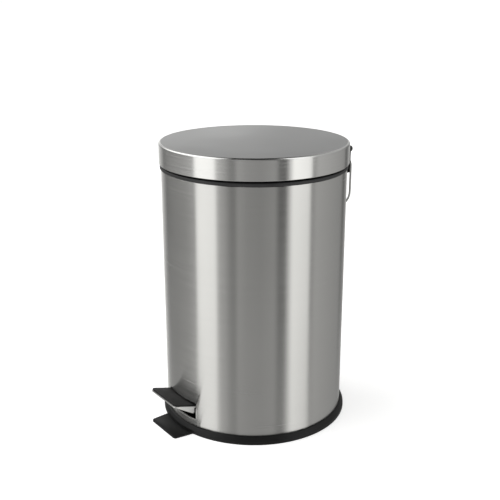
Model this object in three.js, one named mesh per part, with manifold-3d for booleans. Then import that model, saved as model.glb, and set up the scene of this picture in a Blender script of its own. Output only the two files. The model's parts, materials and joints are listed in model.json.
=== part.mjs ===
// Round pedal bin, 12 litre class: a steel shell on a plastic base, a hinged lid, and a foot pedal
// that lifts the lid through a push rod behind a lift-out bucket.
// Millimetres, +Z up. The origin is on the shell's axis, at the floor. The pedal is at -Y.

import * as THREE from 'three';
import { mergeVertices } from 'three/addons/utils/BufferGeometryUtils.js';
import Module from 'manifold-3d';

const wasm = await Module();
wasm.setup();

// ---------------------------------------------------------------- driving dimensions

const ROUND_SIDES = 64;          // sides of the large round pieces
const SMALL_SIDES = 16;          // sides of holes, pins and wires' ends
const GAP = 0.3;                 // clearance between pieces that touch on the real bin
const RUNNING = 0.35;            // radial clearance of a pin or rod in its hole
const LOOSE = 1.0;               // clearance of a piece that is dropped or swung into place

const SHELL_RADIUS = 125;        // outside of the steel shell
const SHELL_WALL = 0.8;
const SHELL_FOOT = 4.3;          // lower edge of the shell, in the base's groove
const SHELL_TOP = 350.1;

const BASE_FLARE = 5.7;          // how far the base stands out beyond the shell
const BASE_FLOOR = 3;
const BASE_RING_HEIGHT = 11;
const BASE_UPSTAND_HEIGHT = 16;
const BASE_UPSTAND_WALL = 2.5;
const BASE_DRAFT = 1.5;          // how far the ring leans in below its shoulder
const BASE_SHOULDER = 2.5;       // width and height of the ring's chamfered shoulder
const TONGUE_PROUD = 28.9;       // from the shell to the tongue's straight outer edge
const TONGUE_TIP_WIDTH = 61;
const TONGUE_ROOT_WIDTH = 68;
const TONGUE_CORNER = 4;

const COLLAR_OVERHANG = 1.5;
const COLLAR_FLANGE = 4.1;       // height of the band that shows between shell and lid
const COLLAR_SKIRT = 4.9;        // how far the collar reaches down inside the shell
const COLLAR_SKIRT_WALL = 2.4;
const COLLAR_LEDGE_DROP = 2;     // the bucket's rim sits this far below the collar's top
const COLLAR_CHAMFER = 0.8;

const LID_OVERHANG = 2.6;
const LID_WALL = 0.8;
const LID_HEIGHT = 28.1;
const LID_EDGE_ROUND = 3;
const LID_CLEARANCE = 2.4;       // air between the collar and the closed lid
const LINER_WALL = 2;
const LINER_DISC = 1.5;
const LINER_CHAMFER = 2.5;
const LINER_RISE = 2.1;          // the liner's edge stays this far above the lid's
const LINER_FIT = 0.5;           // radial play between the liner and the lid
const BUFFER_RADIUS = 3.5;
const BUFFER_INSET = 5;          // from the liner's skirt to a buffer's axis

const HINGE_OFFSET = 6.4;        // from the lid's side to the hinge axis
const HINGE_BELOW_LID_TOP = 20;
const HINGE_PIN_RADIUS = 1.6;
const KNUCKLE_RADIUS = 4.5;
const LEAF_HALF_WIDTH = 19.5;
const LEAF_PROUD = 3;            // from the lid's side to the leaf's outer face
const LEAF_BELOW = 4;            // the leaf's lower and upper edges, from the hinge axis
const LEAF_ABOVE = 14;
const BRACKET_HALF_WIDTH = 43;
const BRACKET_WALL = 3;
const BRACKET_BEHIND = 1.7;      // from the hinge axis to the bracket's outer face
const BRACKET_BOSS_RADIUS = 4.5;
const BRACKET_NOTCH = 4;         // room under the lid's knuckle
const BRACKET_DROP = 19.1;       // from the shell's top to the bracket's lower edge
const BRACKET_SCREW_X = 22;
const BRACKET_SCREW_RISE = 10;   // from the bracket's lower edge to its screws
const SCREW_RADIUS = 1.5;
const SCREW_HEAD_RADIUS = 3.2;
const SCREW_HEAD_HEIGHT = 1.8;
const RECESS_HALF_LENGTH = 2.4;
const RECESS_HALF_WIDTH = 0.4;
const RECESS_DEPTH = 0.8;
const NUT_RADIUS = 3.5;
const NUT_HEIGHT = 2.5;
const LEAF_SCREW_X = 12;
const LEAF_SCREW_RISE = 9;       // above the hinge axis

const LID_OPEN_ANGLE = 75;       // degrees
const PEDAL_ANGLE = 10;          // degrees of pedal that open the lid fully
const ROD_RADIUS = 2;
const ROD_WALL_CLEARANCE = 5.2;  // from the shell's inside to the rod
const CRANK_X = 6;
const CRANK_THICKNESS = 2;
const CRANK_RIM = 1.9;           // metal around the crank's slot
const CRANK_SLOT_PLAY = 1.1;     // more than the error of a constant ratio, so the rod's end never jams
const ROD_HOOK_REACH = 11;       // how far the rod's ends are bent sideways
const ROD_BEND = 3.5;
const GUIDE_HEIGHT = 94;         // height of the lower guide
const GUIDE_HALF_WIDTH = 6;
const GUIDE_HALF_HEIGHT = 4;
const GUIDE_WALL = 1.8;
const GUIDE_PEG_RADIUS = 2;
const GUIDE_HEAD = 1.2;          // how far the peg's head stands out, sideways and outwards

const PEDAL_WIDTH = 65;
const PEDAL_PROUD = 28;          // from the shell to the pedal's outer edge
const PEDAL_TOP = 51;            // height of the pad's outer edge
const PEDAL_SLOPE = 15.6;        // degrees, falling towards the shell
const PEDAL_CORNER = 5;
const PEDAL_STEEL = 2;
const TREAD_EDGE_DEPTH = 9;      // depth of the tread's folded edges next to the shell
const PAD_THICKNESS = 2;
const PAD_TUCK = 13;             // how far the pad reaches in behind the shell's outside
const LEVER_ARM_WIDTH = 16;
const LEVER_ARM_TOP = 20;
const LEVER_ARM_DEPTH = 12;
const LEVER_WIDE_END = 10;       // the lever is wide as far as this behind its axle
const LEVER_NARROW_START = 35;   // and as narrow as its arm from here on
const LEVER_BEND = 18;           // the slope has levelled out this far in front of the axle
const SEAM = 0.5;                // overlap of two parts of one piece
const KNEE_RISE = 6;             // height above the arm where the foot plate's slope flattens
const LEVER_FLANGE = 9;          // depth of the lever's side flanges inside the shell
const LEVER_EYE_WALL = 2.5;      // metal under the axle's hole
const AXLE_RADIUS = 3;
const AXLE_HEIGHT = 12;
const LUG_WALL = 4.5;
const LUG_HALF_LENGTH = 8;
const LUG_ABOVE_AXLE = 6;
const STOP_DISTANCE = 110;       // from the axle to the stop under the arm
const STOP_RADIUS = 4;
const CLIP_THICKNESS = 1.4;
const WINDOW_CORNER = 3;
const WINDOW_SPARE = 2.5;        // room under the pressed pedal, in the shell's window
const WINDOW_HEADROOM = 1.3;     // room above the pad

const HANDLE_RADIUS = 1.4;
const HANDLE_PIVOT_RISE = 14;    // above the bracket's lower edge
const HANDLE_DROP = 63;          // from the pivot to the bottom of the loop
const HANDLE_CORNER = 24;
const HANDLE_LUG_RADIUS = 3.2;
const HANDLE_LUG_WIDTH = 8;
const HANDLE_TOP_BEND = 2.2;
const HANDLE_END_INSET = 6.5;    // from the bracket's end to the tip of the wire

const BUCKET_MARGIN = 18.2;      // between the shell's inside and the bucket's wall, for the push rod
const BUCKET_TAPER = 10;         // how much smaller the bucket's foot is, in radius
const BUCKET_WALL = 2;
const BUCKET_FOOT = 60;
const BUCKET_RIM_WIDTH = 5;
const BUCKET_RIM = 2.2;
const BAIL_RADIUS = 1.5;
const BAIL_EAR_WALL = 3;
const BAIL_EAR_HALF_WIDTH = 5;
const BAIL_BEND = 2.5;
const BAIL_PLAY = 0.4;

// ---------------------------------------------------------------- sizes that follow

const tanDeg = (degrees) => Math.tan(THREE.MathUtils.degToRad(degrees));
const cosDeg = (degrees) => Math.cos(THREE.MathUtils.degToRad(degrees));
const sinDeg = (degrees) => Math.sin(THREE.MathUtils.degToRad(degrees));

const FACET = Math.cos(Math.PI / ROUND_SIDES);      // a flat's distance from the axis, over the radius
const shellInside = SHELL_RADIUS - SHELL_WALL;
const baseRadius = SHELL_RADIUS + BASE_FLARE;
const tongueReach = SHELL_RADIUS + TONGUE_PROUD;
const collarRadius = SHELL_RADIUS + COLLAR_OVERHANG;
const collarTop = SHELL_TOP + GAP + COLLAR_FLANGE;
const lidRadius = SHELL_RADIUS + LID_OVERHANG;
const lidFoot = collarTop + LID_CLEARANCE;
const lidTop = lidFoot + LID_HEIGHT;
const linerRadius = lidRadius - LID_WALL - LINER_FIT;
const linerFoot = lidFoot + LINER_RISE;
const linerTop = lidTop - LID_WALL - GAP;
const hingeY = lidRadius + HINGE_OFFSET;
const hingeZ = lidTop - HINGE_BELOW_LID_TOP;
const bracketOutsideY = hingeY + BRACKET_BEHIND;
const bracketInsideY = bracketOutsideY - BRACKET_WALL;
const bracketFoot = SHELL_TOP - BRACKET_DROP;
const bracketScrewZ = bracketFoot + BRACKET_SCREW_RISE;

const rodY = shellInside - ROD_WALL_CLEARANCE - ROD_RADIUS;
const crankReach = hingeY - rodY;
const crankAngle = LID_OPEN_ANGLE / 2;
const crankEnd = crankReach / cosDeg(crankAngle);
const rodTravel = 2 * crankReach * tanDeg(crankAngle);
const rodTopZ = hingeZ - crankReach * tanDeg(crankAngle);
const slotHalfWidth = ROD_RADIUS + CRANK_SLOT_PLAY;
const crankHalfWidth = slotHalfWidth + CRANK_RIM;
const crankUndersideAt = (y) => hingeZ - (hingeY - y) * tanDeg(crankAngle) - crankHalfWidth / cosDeg(crankAngle);

// The rod's foot lies on the lever, so the lever's length follows from the rod's travel.
const rodFootZ = LEVER_ARM_TOP + GAP + ROD_RADIUS;
const footAboveAxle = rodFootZ - AXLE_HEIGHT;
const leverLength = (rodTravel - footAboveAxle * (1 / cosDeg(PEDAL_ANGLE) - 1)) / tanDeg(PEDAL_ANGLE);
const axleY = rodY - leverLength;
const leverEndY = shellInside - 1.3;

const stopY = axleY + STOP_DISTANCE;
const stopPostTop = AXLE_HEIGHT;

const flangeX = PEDAL_WIDTH / 2 - PEDAL_STEEL;
const lugX = PEDAL_WIDTH / 2 + LOOSE;
const windowHalfWidth = PEDAL_WIDTH / 2 + LOOSE;
const pedalReach = SHELL_RADIUS + PEDAL_PROUD;
const padInnerReach = SHELL_RADIUS - PAD_TUCK;
const plateTop = PEDAL_TOP - PAD_THICKNESS - GAP;
const plateHeightAt = (y) => plateTop - (y + pedalReach) * tanDeg(PEDAL_SLOPE);
const windowTop = plateHeightAt(-SHELL_RADIUS) + GAP + PAD_THICKNESS + WINDOW_HEADROOM;
const plateAboveAxle = plateHeightAt(-SHELL_RADIUS) - PEDAL_STEEL - AXLE_HEIGHT;
const plateFromAxle = SHELL_RADIUS + axleY;
const pressedPlate = AXLE_HEIGHT + plateAboveAxle * cosDeg(PEDAL_ANGLE) - plateFromAxle * sinDeg(PEDAL_ANGLE);
const windowSill = pressedPlate - WINDOW_SPARE;

const handleX = BRACKET_HALF_WIDTH + LOOSE + HANDLE_RADIUS;
const handleY = bracketOutsideY - HANDLE_LUG_RADIUS + BRACKET_BEHIND;
const handlePivotZ = bracketFoot + HANDLE_PIVOT_RISE;

const bucketRadius = shellInside - BUCKET_MARGIN;
const bucketFootRadius = bucketRadius - BUCKET_TAPER;
const bucketRimRadius = bucketRadius + BUCKET_RIM_WIDTH;
const ledgeTop = collarTop - COLLAR_LEDGE_DROP;
const rimFoot = ledgeTop + GAP;
const rimTop = rimFoot + BUCKET_RIM;
const bailZ = rimTop + BAIL_RADIUS + SEAM;
const earX = bucketRadius - BUCKET_WALL;
const bailX = earX + BAIL_EAR_WALL + GAP + BAIL_RADIUS + BAIL_PLAY;

// ---------------------------------------------------------------- materials

const finish = (color, roughness, metalness) => new THREE.MeshStandardMaterial({ color, roughness, metalness });

const brushedSteel = finish(0xb9b8b4, 0.32, 1);
const plainSteel = finish(0x9a9a98, 0.4, 1);
const coatedSteel = finish(0x1c1c1e, 0.45, 0);
const blackPlastic = finish(0x1b1b1c, 0.5, 0);
const greyPlastic = finish(0x3a3a3b, 0.5, 0);
const rubber = finish(0x141414, 0.85, 0);

// ---------------------------------------------------------------- solids and geometry

function toSolid(geometry) {
  const bare = geometry.clone();
  bare.deleteAttribute('normal');
  bare.deleteAttribute('uv');
  const merged = mergeVertices(bare, 1e-4);
  const corners = Array.from(merged.index.array);
  const triangles = [];
  for (let i = 0; i < corners.length; i += 3) {
    const [a, b, c] = corners.slice(i, i + 3);
    if (a !== b && b !== c && c !== a) triangles.push(a, b, c);
  }
  return new wasm.Manifold(new wasm.Mesh({
    numProp: 3,
    vertProperties: new Float32Array(merged.attributes.position.array),
    triVerts: new Uint32Array(triangles),
  }));
}

function toGeometry(solid) {
  const mesh = solid.getMesh();
  const geometry = new THREE.BufferGeometry();
  geometry.setAttribute('position', new THREE.BufferAttribute(mesh.vertProperties, 3));
  geometry.setIndex(new THREE.BufferAttribute(mesh.triVerts, 1));
  return geometry;
}

const joined = (...solids) => solids.reduce((whole, next) => whole.add(next));
const cut = (solid, ...tools) => tools.reduce((whole, tool) => whole.subtract(tool), solid);

/** A solid of revolution about Z. The outline is [radius, height] points, upward on the outside. */
function turned(outline, sides = ROUND_SIDES) {
  const points = outline.map(([radius, height]) => new THREE.Vector2(radius, height));
  return toSolid(new THREE.LatheGeometry(points, sides).rotateX(Math.PI / 2));
}

/** A ring about Z: its outline closes on itself. */
const turnedRing = (outline, sides) => turned([...outline, outline[0]], sides);

const disc = (radius, low, high) => turned([[0, low], [radius, low], [radius, high], [0, high]]);

function box(x, y, z) {
  const geometry = new THREE.BoxGeometry(x[1] - x[0], y[1] - y[0], z[1] - z[0]);
  geometry.translate((x[0] + x[1]) / 2, (y[0] + y[1]) / 2, (z[0] + z[1]) / 2);
  return toSolid(geometry);
}

/** A cylinder of the given length, centred on the origin, along one axis. */
function rod(axis, radius, length, sides = SMALL_SIDES) {
  const geometry = new THREE.CylinderGeometry(radius, radius, length, sides);
  if (axis === 'x') geometry.rotateZ(Math.PI / 2);
  if (axis === 'z') geometry.rotateX(Math.PI / 2);
  return toSolid(geometry);
}

const rodAlongX = (radius, x, y, z) => rod('x', radius, x[1] - x[0]).translate([(x[0] + x[1]) / 2, y, z]);
const rodAlongY = (radius, x, y, z) => rod('y', radius, y[1] - y[0]).translate([x, (y[0] + y[1]) / 2, z]);
const rodAlongZ = (radius, x, y, z) => rod('z', radius, z[1] - z[0]).translate([x, y, (z[0] + z[1]) / 2]);

function outlineShape(points) {
  return new THREE.Shape(points.map(([across, up]) => new THREE.Vector2(across, up)));
}

/** A prism along X. Its outline is drawn in [y, z]. */
function prismAlongX(shape, x) {
  const geometry = new THREE.ExtrudeGeometry(shape, { depth: x[1] - x[0], bevelEnabled: false, curveSegments: 6 });
  const yzPlane = new THREE.Matrix4().makeBasis(
    new THREE.Vector3(0, 1, 0), new THREE.Vector3(0, 0, 1), new THREE.Vector3(1, 0, 0));
  return toSolid(geometry.applyMatrix4(yzPlane).translate(x[0], 0, 0));
}

/** A prism along Z. Its outline is drawn in [x, y]. */
function prismAlongZ(shape, z) {
  const geometry = new THREE.ExtrudeGeometry(shape, { depth: z[1] - z[0], bevelEnabled: false, curveSegments: 6 });
  return toSolid(geometry.translate(0, 0, z[0]));
}

/** A plate outline that is straight across its outer end at -Y, where both corners are round. */
function tongueShape(rootHalf, tipHalf, rootY, tipY, corner) {
  const shape = new THREE.Shape();
  shape.moveTo(-rootHalf, rootY);
  shape.lineTo(-tipHalf, tipY + corner);
  shape.quadraticCurveTo(-tipHalf, tipY, -tipHalf + corner, tipY);
  shape.lineTo(tipHalf - corner, tipY);
  shape.quadraticCurveTo(tipHalf, tipY, tipHalf, tipY + corner);
  shape.lineTo(rootHalf, rootY);
  return shape;
}

/** A slot with round ends about a straight line of centres, drawn in [y, z]. */
function slotShape(from, to, halfWidth) {
  const heading = Math.atan2(to[1] - from[1], to[0] - from[0]);
  const shape = new THREE.Shape();
  shape.absarc(to[0], to[1], halfWidth, heading - Math.PI / 2, heading + Math.PI / 2);
  shape.absarc(from[0], from[1], halfWidth, heading + Math.PI / 2, heading + 1.5 * Math.PI);
  return shape;
}

/** A wire's centre line: straight runs and round bends, sampled closely only in the bends. */
class WireLine extends THREE.Curve {
  constructor(corners, bends, bendSteps) {
    super();
    this.places = [];
    this.headings = [];
    const last = corners.length - 1;
    this.mark(corners[0], corners[1].clone().sub(corners[0]));
    for (let i = 1; i < last; i += 1) this.bend(corners[i - 1], corners[i], corners[i + 1], bends[i - 1], bendSteps[i - 1]);
    this.mark(corners[last], corners[last].clone().sub(corners[last - 1]));
  }

  mark(place, heading) {
    this.places.push(place.clone());
    this.headings.push(heading.clone().normalize());
  }

  bend(before, corner, after, radius, steps) {
    const arriving = corner.clone().sub(before).normalize();
    const leaving = after.clone().sub(corner).normalize();
    const turn = arriving.angleTo(leaving);
    const inward = leaving.clone().sub(arriving.clone().multiplyScalar(arriving.dot(leaving))).normalize();
    const start = corner.clone().addScaledVector(arriving, -radius * Math.tan(turn / 2));
    for (let step = 0; step <= steps; step += 1) {
      const angle = turn * step / steps;
      const place = start.clone().addScaledVector(arriving, radius * Math.sin(angle));
      place.addScaledVector(inward, radius * (1 - Math.cos(angle)));
      const heading = arriving.clone().multiplyScalar(Math.cos(angle)).addScaledVector(inward, Math.sin(angle));
      this.mark(place, heading);
    }
  }

  get steps() {
    return this.places.length - 1;
  }

  getPointAt(share) {
    return this.places[Math.round(share * this.steps)].clone();
  }

  getTangentAt(share) {
    return this.headings[Math.round(share * this.steps)].clone();
  }
}

function wire(line, radius, sides) {
  const section = new THREE.Shape();
  for (let side = 0; side < sides; side += 1) {
    const angle = 2 * Math.PI * side / sides;
    const move = side === 0 ? 'moveTo' : 'lineTo';
    section[move](radius * Math.cos(angle), radius * Math.sin(angle));
  }
  return toSolid(new THREE.ExtrudeGeometry(section, { steps: line.steps, extrudePath: line, bevelEnabled: false }));
}

const at = (x, y, z) => new THREE.Vector3(x, y, z);

function piece(name, solid, material, place = [0, 0, 0]) {
  const mesh = new THREE.Mesh(toGeometry(solid), material);
  mesh.name = name;
  mesh.position.set(...place);
  return mesh;
}

function assembly(...members) {
  const group = new THREE.Group();
  group.add(...members);
  return group;
}

// ---------------------------------------------------------------- base and shell

function makeBase() {
  const grooveOutside = SHELL_RADIUS / FACET + GAP;
  const grooveInside = shellInside * FACET - GAP;
  const grooveFloor = SHELL_FOOT - GAP;
  const upstandInside = grooveInside - BASE_UPSTAND_WALL;
  const shoulder = baseRadius - BASE_DRAFT;
  const ring = [
    [baseRadius, 0], [baseRadius, BASE_FLOOR], [shoulder, BASE_RING_HEIGHT - BASE_SHOULDER],
    [shoulder - BASE_SHOULDER, BASE_RING_HEIGHT], [grooveOutside, BASE_RING_HEIGHT],
    [grooveOutside, grooveFloor], [grooveInside, grooveFloor],
  ];
  const tray = turned([
    [0, 0], ...ring, [grooveInside, BASE_UPSTAND_HEIGHT], [upstandInside, BASE_UPSTAND_HEIGHT],
    [upstandInside, BASE_FLOOR], [0, BASE_FLOOR],
  ]);
  const tongue = prismAlongZ(
    tongueShape(TONGUE_ROOT_WIDTH / 2, TONGUE_TIP_WIDTH / 2, -SHELL_RADIUS + 5, -tongueReach, TONGUE_CORNER),
    [0, BASE_FLOOR]);
  const pedalPassage = box([-lugX - LUG_WALL, lugX + LUG_WALL], [-baseRadius, -upstandInside / 2],
    [BASE_FLOOR + 0.01, BASE_UPSTAND_HEIGHT + 1]);
  const armHalf = LEVER_ARM_WIDTH / 2 + LOOSE;
  const armPassage = box([-armHalf, armHalf], [upstandInside - 5, SHELL_RADIUS],
    [BASE_FLOOR + 0.01, BASE_UPSTAND_HEIGHT + 1]);
  const outerRing = turnedRing([[grooveInside, 0], ...ring]);
  const lugs = [-1, 1].map((side) => makeAxleLug(side));
  const stopPost = rodAlongZ(STOP_RADIUS, 0, stopY, [BASE_FLOOR - SEAM, stopPostTop]);
  return joined(cut(tray, pedalPassage, armPassage), outerRing, tongue, ...lugs, stopPost);
}

/** One of the two lugs that stand on the base's floor and hold the lever's axle. */
function makeAxleLug(side) {
  const inner = side * lugX;
  const outer = side * (lugX + LUG_WALL);
  const x = [Math.min(inner, outer), Math.max(inner, outer)];
  const block = box(x, [axleY - LUG_HALF_LENGTH, axleY + LUG_HALF_LENGTH],
    [BASE_FLOOR - SEAM, AXLE_HEIGHT + LUG_ABOVE_AXLE]);
  return cut(block, rodAlongX(AXLE_RADIUS + RUNNING, [x[0] - 1, x[1] + 1], axleY, AXLE_HEIGHT));
}

function makeShell() {
  const tube = turnedRing([
    [SHELL_RADIUS, SHELL_FOOT], [SHELL_RADIUS, SHELL_TOP], [shellInside, SHELL_TOP], [shellInside, SHELL_FOOT],
  ]);
  const screwHoles = [-1, 1].map((side) => rodAlongY(
    SCREW_RADIUS + RUNNING, side * BRACKET_SCREW_X, [shellInside - 20, SHELL_RADIUS + 5], bracketScrewZ));
  const pegHoles = guideHeights.map((height) => rodAlongY(
    GUIDE_PEG_RADIUS + RUNNING, 0, [shellInside - 20, SHELL_RADIUS + 5], height));
  const crankPassage = makeLinkagePassage(shellInside - 2, crankUndersideAt(shellInside) - LOOSE);
  return cut(tube, makePedalWindow(), crankPassage, ...screwHoles, ...pegHoles);
}

/** The cutter for the window that the pedal comes out of, with round corners. */
function makePedalWindow() {
  const low = [-1, 1].map((side) => rodAlongY(
    WINDOW_CORNER, side * (windowHalfWidth - WINDOW_CORNER), [-SHELL_RADIUS - 5, -SHELL_RADIUS / 2],
    windowSill + WINDOW_CORNER));
  const high = low.map((corner) => corner.translate([0, 0, windowTop - windowSill - 2 * WINDOW_CORNER]));
  const y = [-SHELL_RADIUS - 5, -SHELL_RADIUS / 2];
  const wide = box([-windowHalfWidth, windowHalfWidth], y, [windowSill + WINDOW_CORNER, windowTop - WINDOW_CORNER]);
  const tall = box([-windowHalfWidth + WINDOW_CORNER, windowHalfWidth - WINDOW_CORNER], y, [windowSill, windowTop]);
  return joined(wide, tall, ...low, ...high);
}

function makeCollar() {
  const skirtOutside = shellInside * FACET - GAP;
  const skirtInside = skirtOutside - COLLAR_SKIRT_WALL;
  const flangeFoot = SHELL_TOP + GAP;
  const bore = bucketRadius / FACET + LOOSE;
  const recess = bucketRimRadius / FACET + GAP;
  const ring = turnedRing([
    [bore, ledgeTop - 2], [skirtInside, ledgeTop - 2], [skirtInside, SHELL_TOP - COLLAR_SKIRT],
    [skirtOutside, SHELL_TOP - COLLAR_SKIRT], [skirtOutside, flangeFoot], [collarRadius, flangeFoot],
    [collarRadius, collarTop - COLLAR_CHAMFER], [collarRadius - COLLAR_CHAMFER, collarTop], [recess, collarTop],
    [recess, ledgeTop], [bore, ledgeTop],
  ]);
  return cut(ring, makeLinkagePassage(rodY - crankHalfWidth - 2.5, SHELL_TOP - COLLAR_SKIRT + 2));
}

/** The cutter for the opening that the rod's hook and the crank work in, outwards from innerY. */
function makeLinkagePassage(innerY, low) {
  const x = [-ROD_RADIUS - 1.5, ROD_HOOK_REACH + 2.5];
  return box(x, [innerY, collarRadius + 5], [low, collarTop + 5]);
}

// ---------------------------------------------------------------- hinge bracket and fasteners

function makeHingeBracket() {
  const wide = [-BRACKET_HALF_WIDTH, BRACKET_HALF_WIDTH];
  const plate = box(wide, [bracketInsideY, bracketOutsideY], [bracketFoot, hingeZ]);
  const shelf = box(wide, [SHELL_RADIUS / 2, bracketOutsideY], [bracketFoot, bracketFoot + BRACKET_WALL]);
  const bosses = [-1, 1].map((side) => rodAlongY(
    BRACKET_BOSS_RADIUS, side * BRACKET_SCREW_X, [SHELL_RADIUS * 0.9, bracketInsideY + 1], bracketScrewZ));
  const knuckles = [-1, 1].map((side) => rodAlongX(
    KNUCKLE_RADIUS, sidePair(side, LEAF_HALF_WIDTH + LOOSE, BRACKET_HALF_WIDTH), hingeY, hingeZ));
  const handleLugs = [-1, 1].map((side) => rodAlongX(
    HANDLE_LUG_RADIUS, sidePair(side, BRACKET_HALF_WIDTH - HANDLE_LUG_WIDTH, BRACKET_HALF_WIDTH), handleY, handlePivotZ));
  const shellSpace = disc(SHELL_RADIUS / FACET + GAP, bracketFoot - 1, SHELL_TOP);
  const body = cut(joined(plate, shelf, ...bosses, ...handleLugs), shellSpace, makeLeafSpace());
  return cut(joined(body, ...knuckles), ...makeBracketHoles());
}

const sidePair = (side, near, far) => (side > 0 ? [near, far] : [-far, -near]);

/** The cutter that keeps the middle of the bracket's top clear for the lid's knuckle. */
function makeLeafSpace() {
  const half = LEAF_HALF_WIDTH + LOOSE;
  return box([-half, half], [bracketInsideY - 5, bracketOutsideY + 5],
    [hingeZ - KNUCKLE_RADIUS - BRACKET_NOTCH, hingeZ + 5]);
}

function makeBracketHoles() {
  const reach = BRACKET_HALF_WIDTH + 1;
  const pinHole = rodAlongX(HINGE_PIN_RADIUS + RUNNING, [-reach, reach], hingeY, hingeZ);
  const handleHoles = [-1, 1].map((side) => rodAlongX(
    HANDLE_RADIUS + RUNNING, sidePair(side, BRACKET_HALF_WIDTH - HANDLE_LUG_WIDTH - 1, reach), handleY, handlePivotZ));
  const screwHoles = [-1, 1].map((side) => rodAlongY(
    SCREW_RADIUS + RUNNING, side * BRACKET_SCREW_X, [SHELL_RADIUS * 0.8, bracketOutsideY + 5], bracketScrewZ));
  return [pinHole, ...handleHoles, ...screwHoles];
}

/** A pan-head screw along Y. Its head's seat is at the origin and its shank points to -Y. */
function makeScrew(shank) {
  const head = rodAlongY(SCREW_HEAD_RADIUS, 0, [0, SCREW_HEAD_HEIGHT], 0);
  const long = [-RECESS_HALF_LENGTH, RECESS_HALF_LENGTH];
  const narrow = [-RECESS_HALF_WIDTH, RECESS_HALF_WIDTH];
  const depth = [SCREW_HEAD_HEIGHT - RECESS_DEPTH, SCREW_HEAD_HEIGHT + 1];
  return cut(joined(head, rodAlongY(SCREW_RADIUS, 0, [-shank, SEAM], 0)), box(narrow, depth, long), box(long, depth, narrow));
}

/** A hexagonal nut along Y, from the origin towards -Y. */
function makeNut() {
  const blank = rod('y', NUT_RADIUS, NUT_HEIGHT, 6).translate([0, -NUT_HEIGHT / 2, 0]);
  return cut(blank, rodAlongY(SCREW_RADIUS + RUNNING, 0, [-NUT_HEIGHT - 1, 1], 0));
}

/** Where a flat nut's face clears the inside of a round wall, at a distance x from the middle. */
function nutSeatY(wallInside, x) {
  const corner = x + NUT_RADIUS;
  return Math.sqrt((wallInside * FACET) ** 2 - corner ** 2) - GAP;
}

function makeBracketFasteners() {
  const seatY = bracketOutsideY + GAP;
  const nutY = nutSeatY(shellInside, BRACKET_SCREW_X);
  const shank = seatY - nutY + NUT_HEIGHT + 1;
  return [['left', -1], ['right', 1]].flatMap(([name, side]) => [
    piece(`bracket_screw_${name}`, makeScrew(shank), plainSteel, [side * BRACKET_SCREW_X, seatY, bracketScrewZ]),
    piece(`bracket_nut_${name}`, makeNut(), plainSteel, [side * BRACKET_SCREW_X, nutY, bracketScrewZ]),
  ]);
}

/** The hinge pin, with a head at its left end. */
function makeHingePin() {
  const head = [-BRACKET_HALF_WIDTH - GAP - CLIP_THICKNESS, -BRACKET_HALF_WIDTH - GAP];
  return joined(
    rodAlongX(HINGE_PIN_RADIUS, [head[0], BRACKET_HALF_WIDTH + GAP + CLIP_THICKNESS + 0.4], 0, 0),
    rodAlongX(HINGE_PIN_RADIUS + 1.2, head, 0, 0));
}

/** A push-on retaining ring along X, centred on the origin. */
function makeClip(shaftRadius) {
  return cut(
    rod('x', shaftRadius + 2, CLIP_THICKNESS),
    rod('x', shaftRadius + RUNNING, CLIP_THICKNESS + 1));
}

// ---------------------------------------------------------------- lid

function makeLidShell() {
  const inside = lidRadius - LID_WALL;
  const ceiling = lidTop - LID_WALL;
  const innerRound = LID_EDGE_ROUND - LID_WALL;
  const edge = [0, 1, 2, 3, 4].map((step) => roundPoint(lidRadius, lidTop, LID_EDGE_ROUND, step / 4));
  const innerEdge = [4, 2, 0].map((step) => roundPoint(inside, ceiling, innerRound, step / 4));
  const cap = turned([
    [0, ceiling], ...innerEdge, [inside, lidFoot], [lidRadius, lidFoot], ...edge, [0, lidTop],
  ]);
  return cut(cap, makeCrankNotch(), ...makeLeafScrewHoles());
}

/** A point on the quarter round between a side at `radius` and a top at `height`. */
function roundPoint(radius, height, round, share) {
  const angle = share * 90;
  return [radius - round + round * cosDeg(angle), height - round + round * sinDeg(angle)];
}

/** The cutter for the notch that the crank passes through, in the rear of the lid. */
function makeCrankNotch() {
  const half = CRANK_THICKNESS / 2 + LOOSE;
  return box([CRANK_X - half, CRANK_X + half], [rodY + 2, hingeY], [lidFoot - 1, hingeZ + 3]);
}

function makeLeafScrewHoles() {
  return [-1, 1].map((side) => rodAlongY(
    SCREW_RADIUS + RUNNING, side * LEAF_SCREW_X, [rodY - 5, hingeY], hingeZ + LEAF_SCREW_RISE));
}

function makeLidLiner() {
  const inside = linerRadius - LINER_WALL;
  const cup = turned([
    [0, linerTop - LINER_DISC], [inside, linerTop - LINER_DISC], [inside, linerFoot], [linerRadius, linerFoot],
    [linerRadius, linerTop - LINER_CHAMFER], [linerRadius - LINER_CHAMFER, linerTop], [0, linerTop],
  ]);
  const bosses = bufferPlaces.map(([x, y]) => rodAlongZ(BUFFER_RADIUS + SEAM, x, y, [linerFoot, linerTop - SEAM]));
  return cut(joined(cup, ...bosses), makeCrankNotch(), ...makeLeafScrewHoles());
}

const bufferCircle = linerRadius - LINER_WALL - BUFFER_INSET;
const bufferPlaces = [-90, 30, 150].map((degrees) => [bufferCircle * cosDeg(degrees), bufferCircle * sinDeg(degrees)]);

function makeBuffers() {
  const height = linerFoot - collarTop - 2 * GAP;
  const names = ['front', 'right', 'left'];
  return names.map((name, i) => piece(
    `lid_buffer_${name}`, rod('z', BUFFER_RADIUS, height), rubber,
    [...bufferPlaces[i], collarTop + GAP + height / 2]));
}

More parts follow.
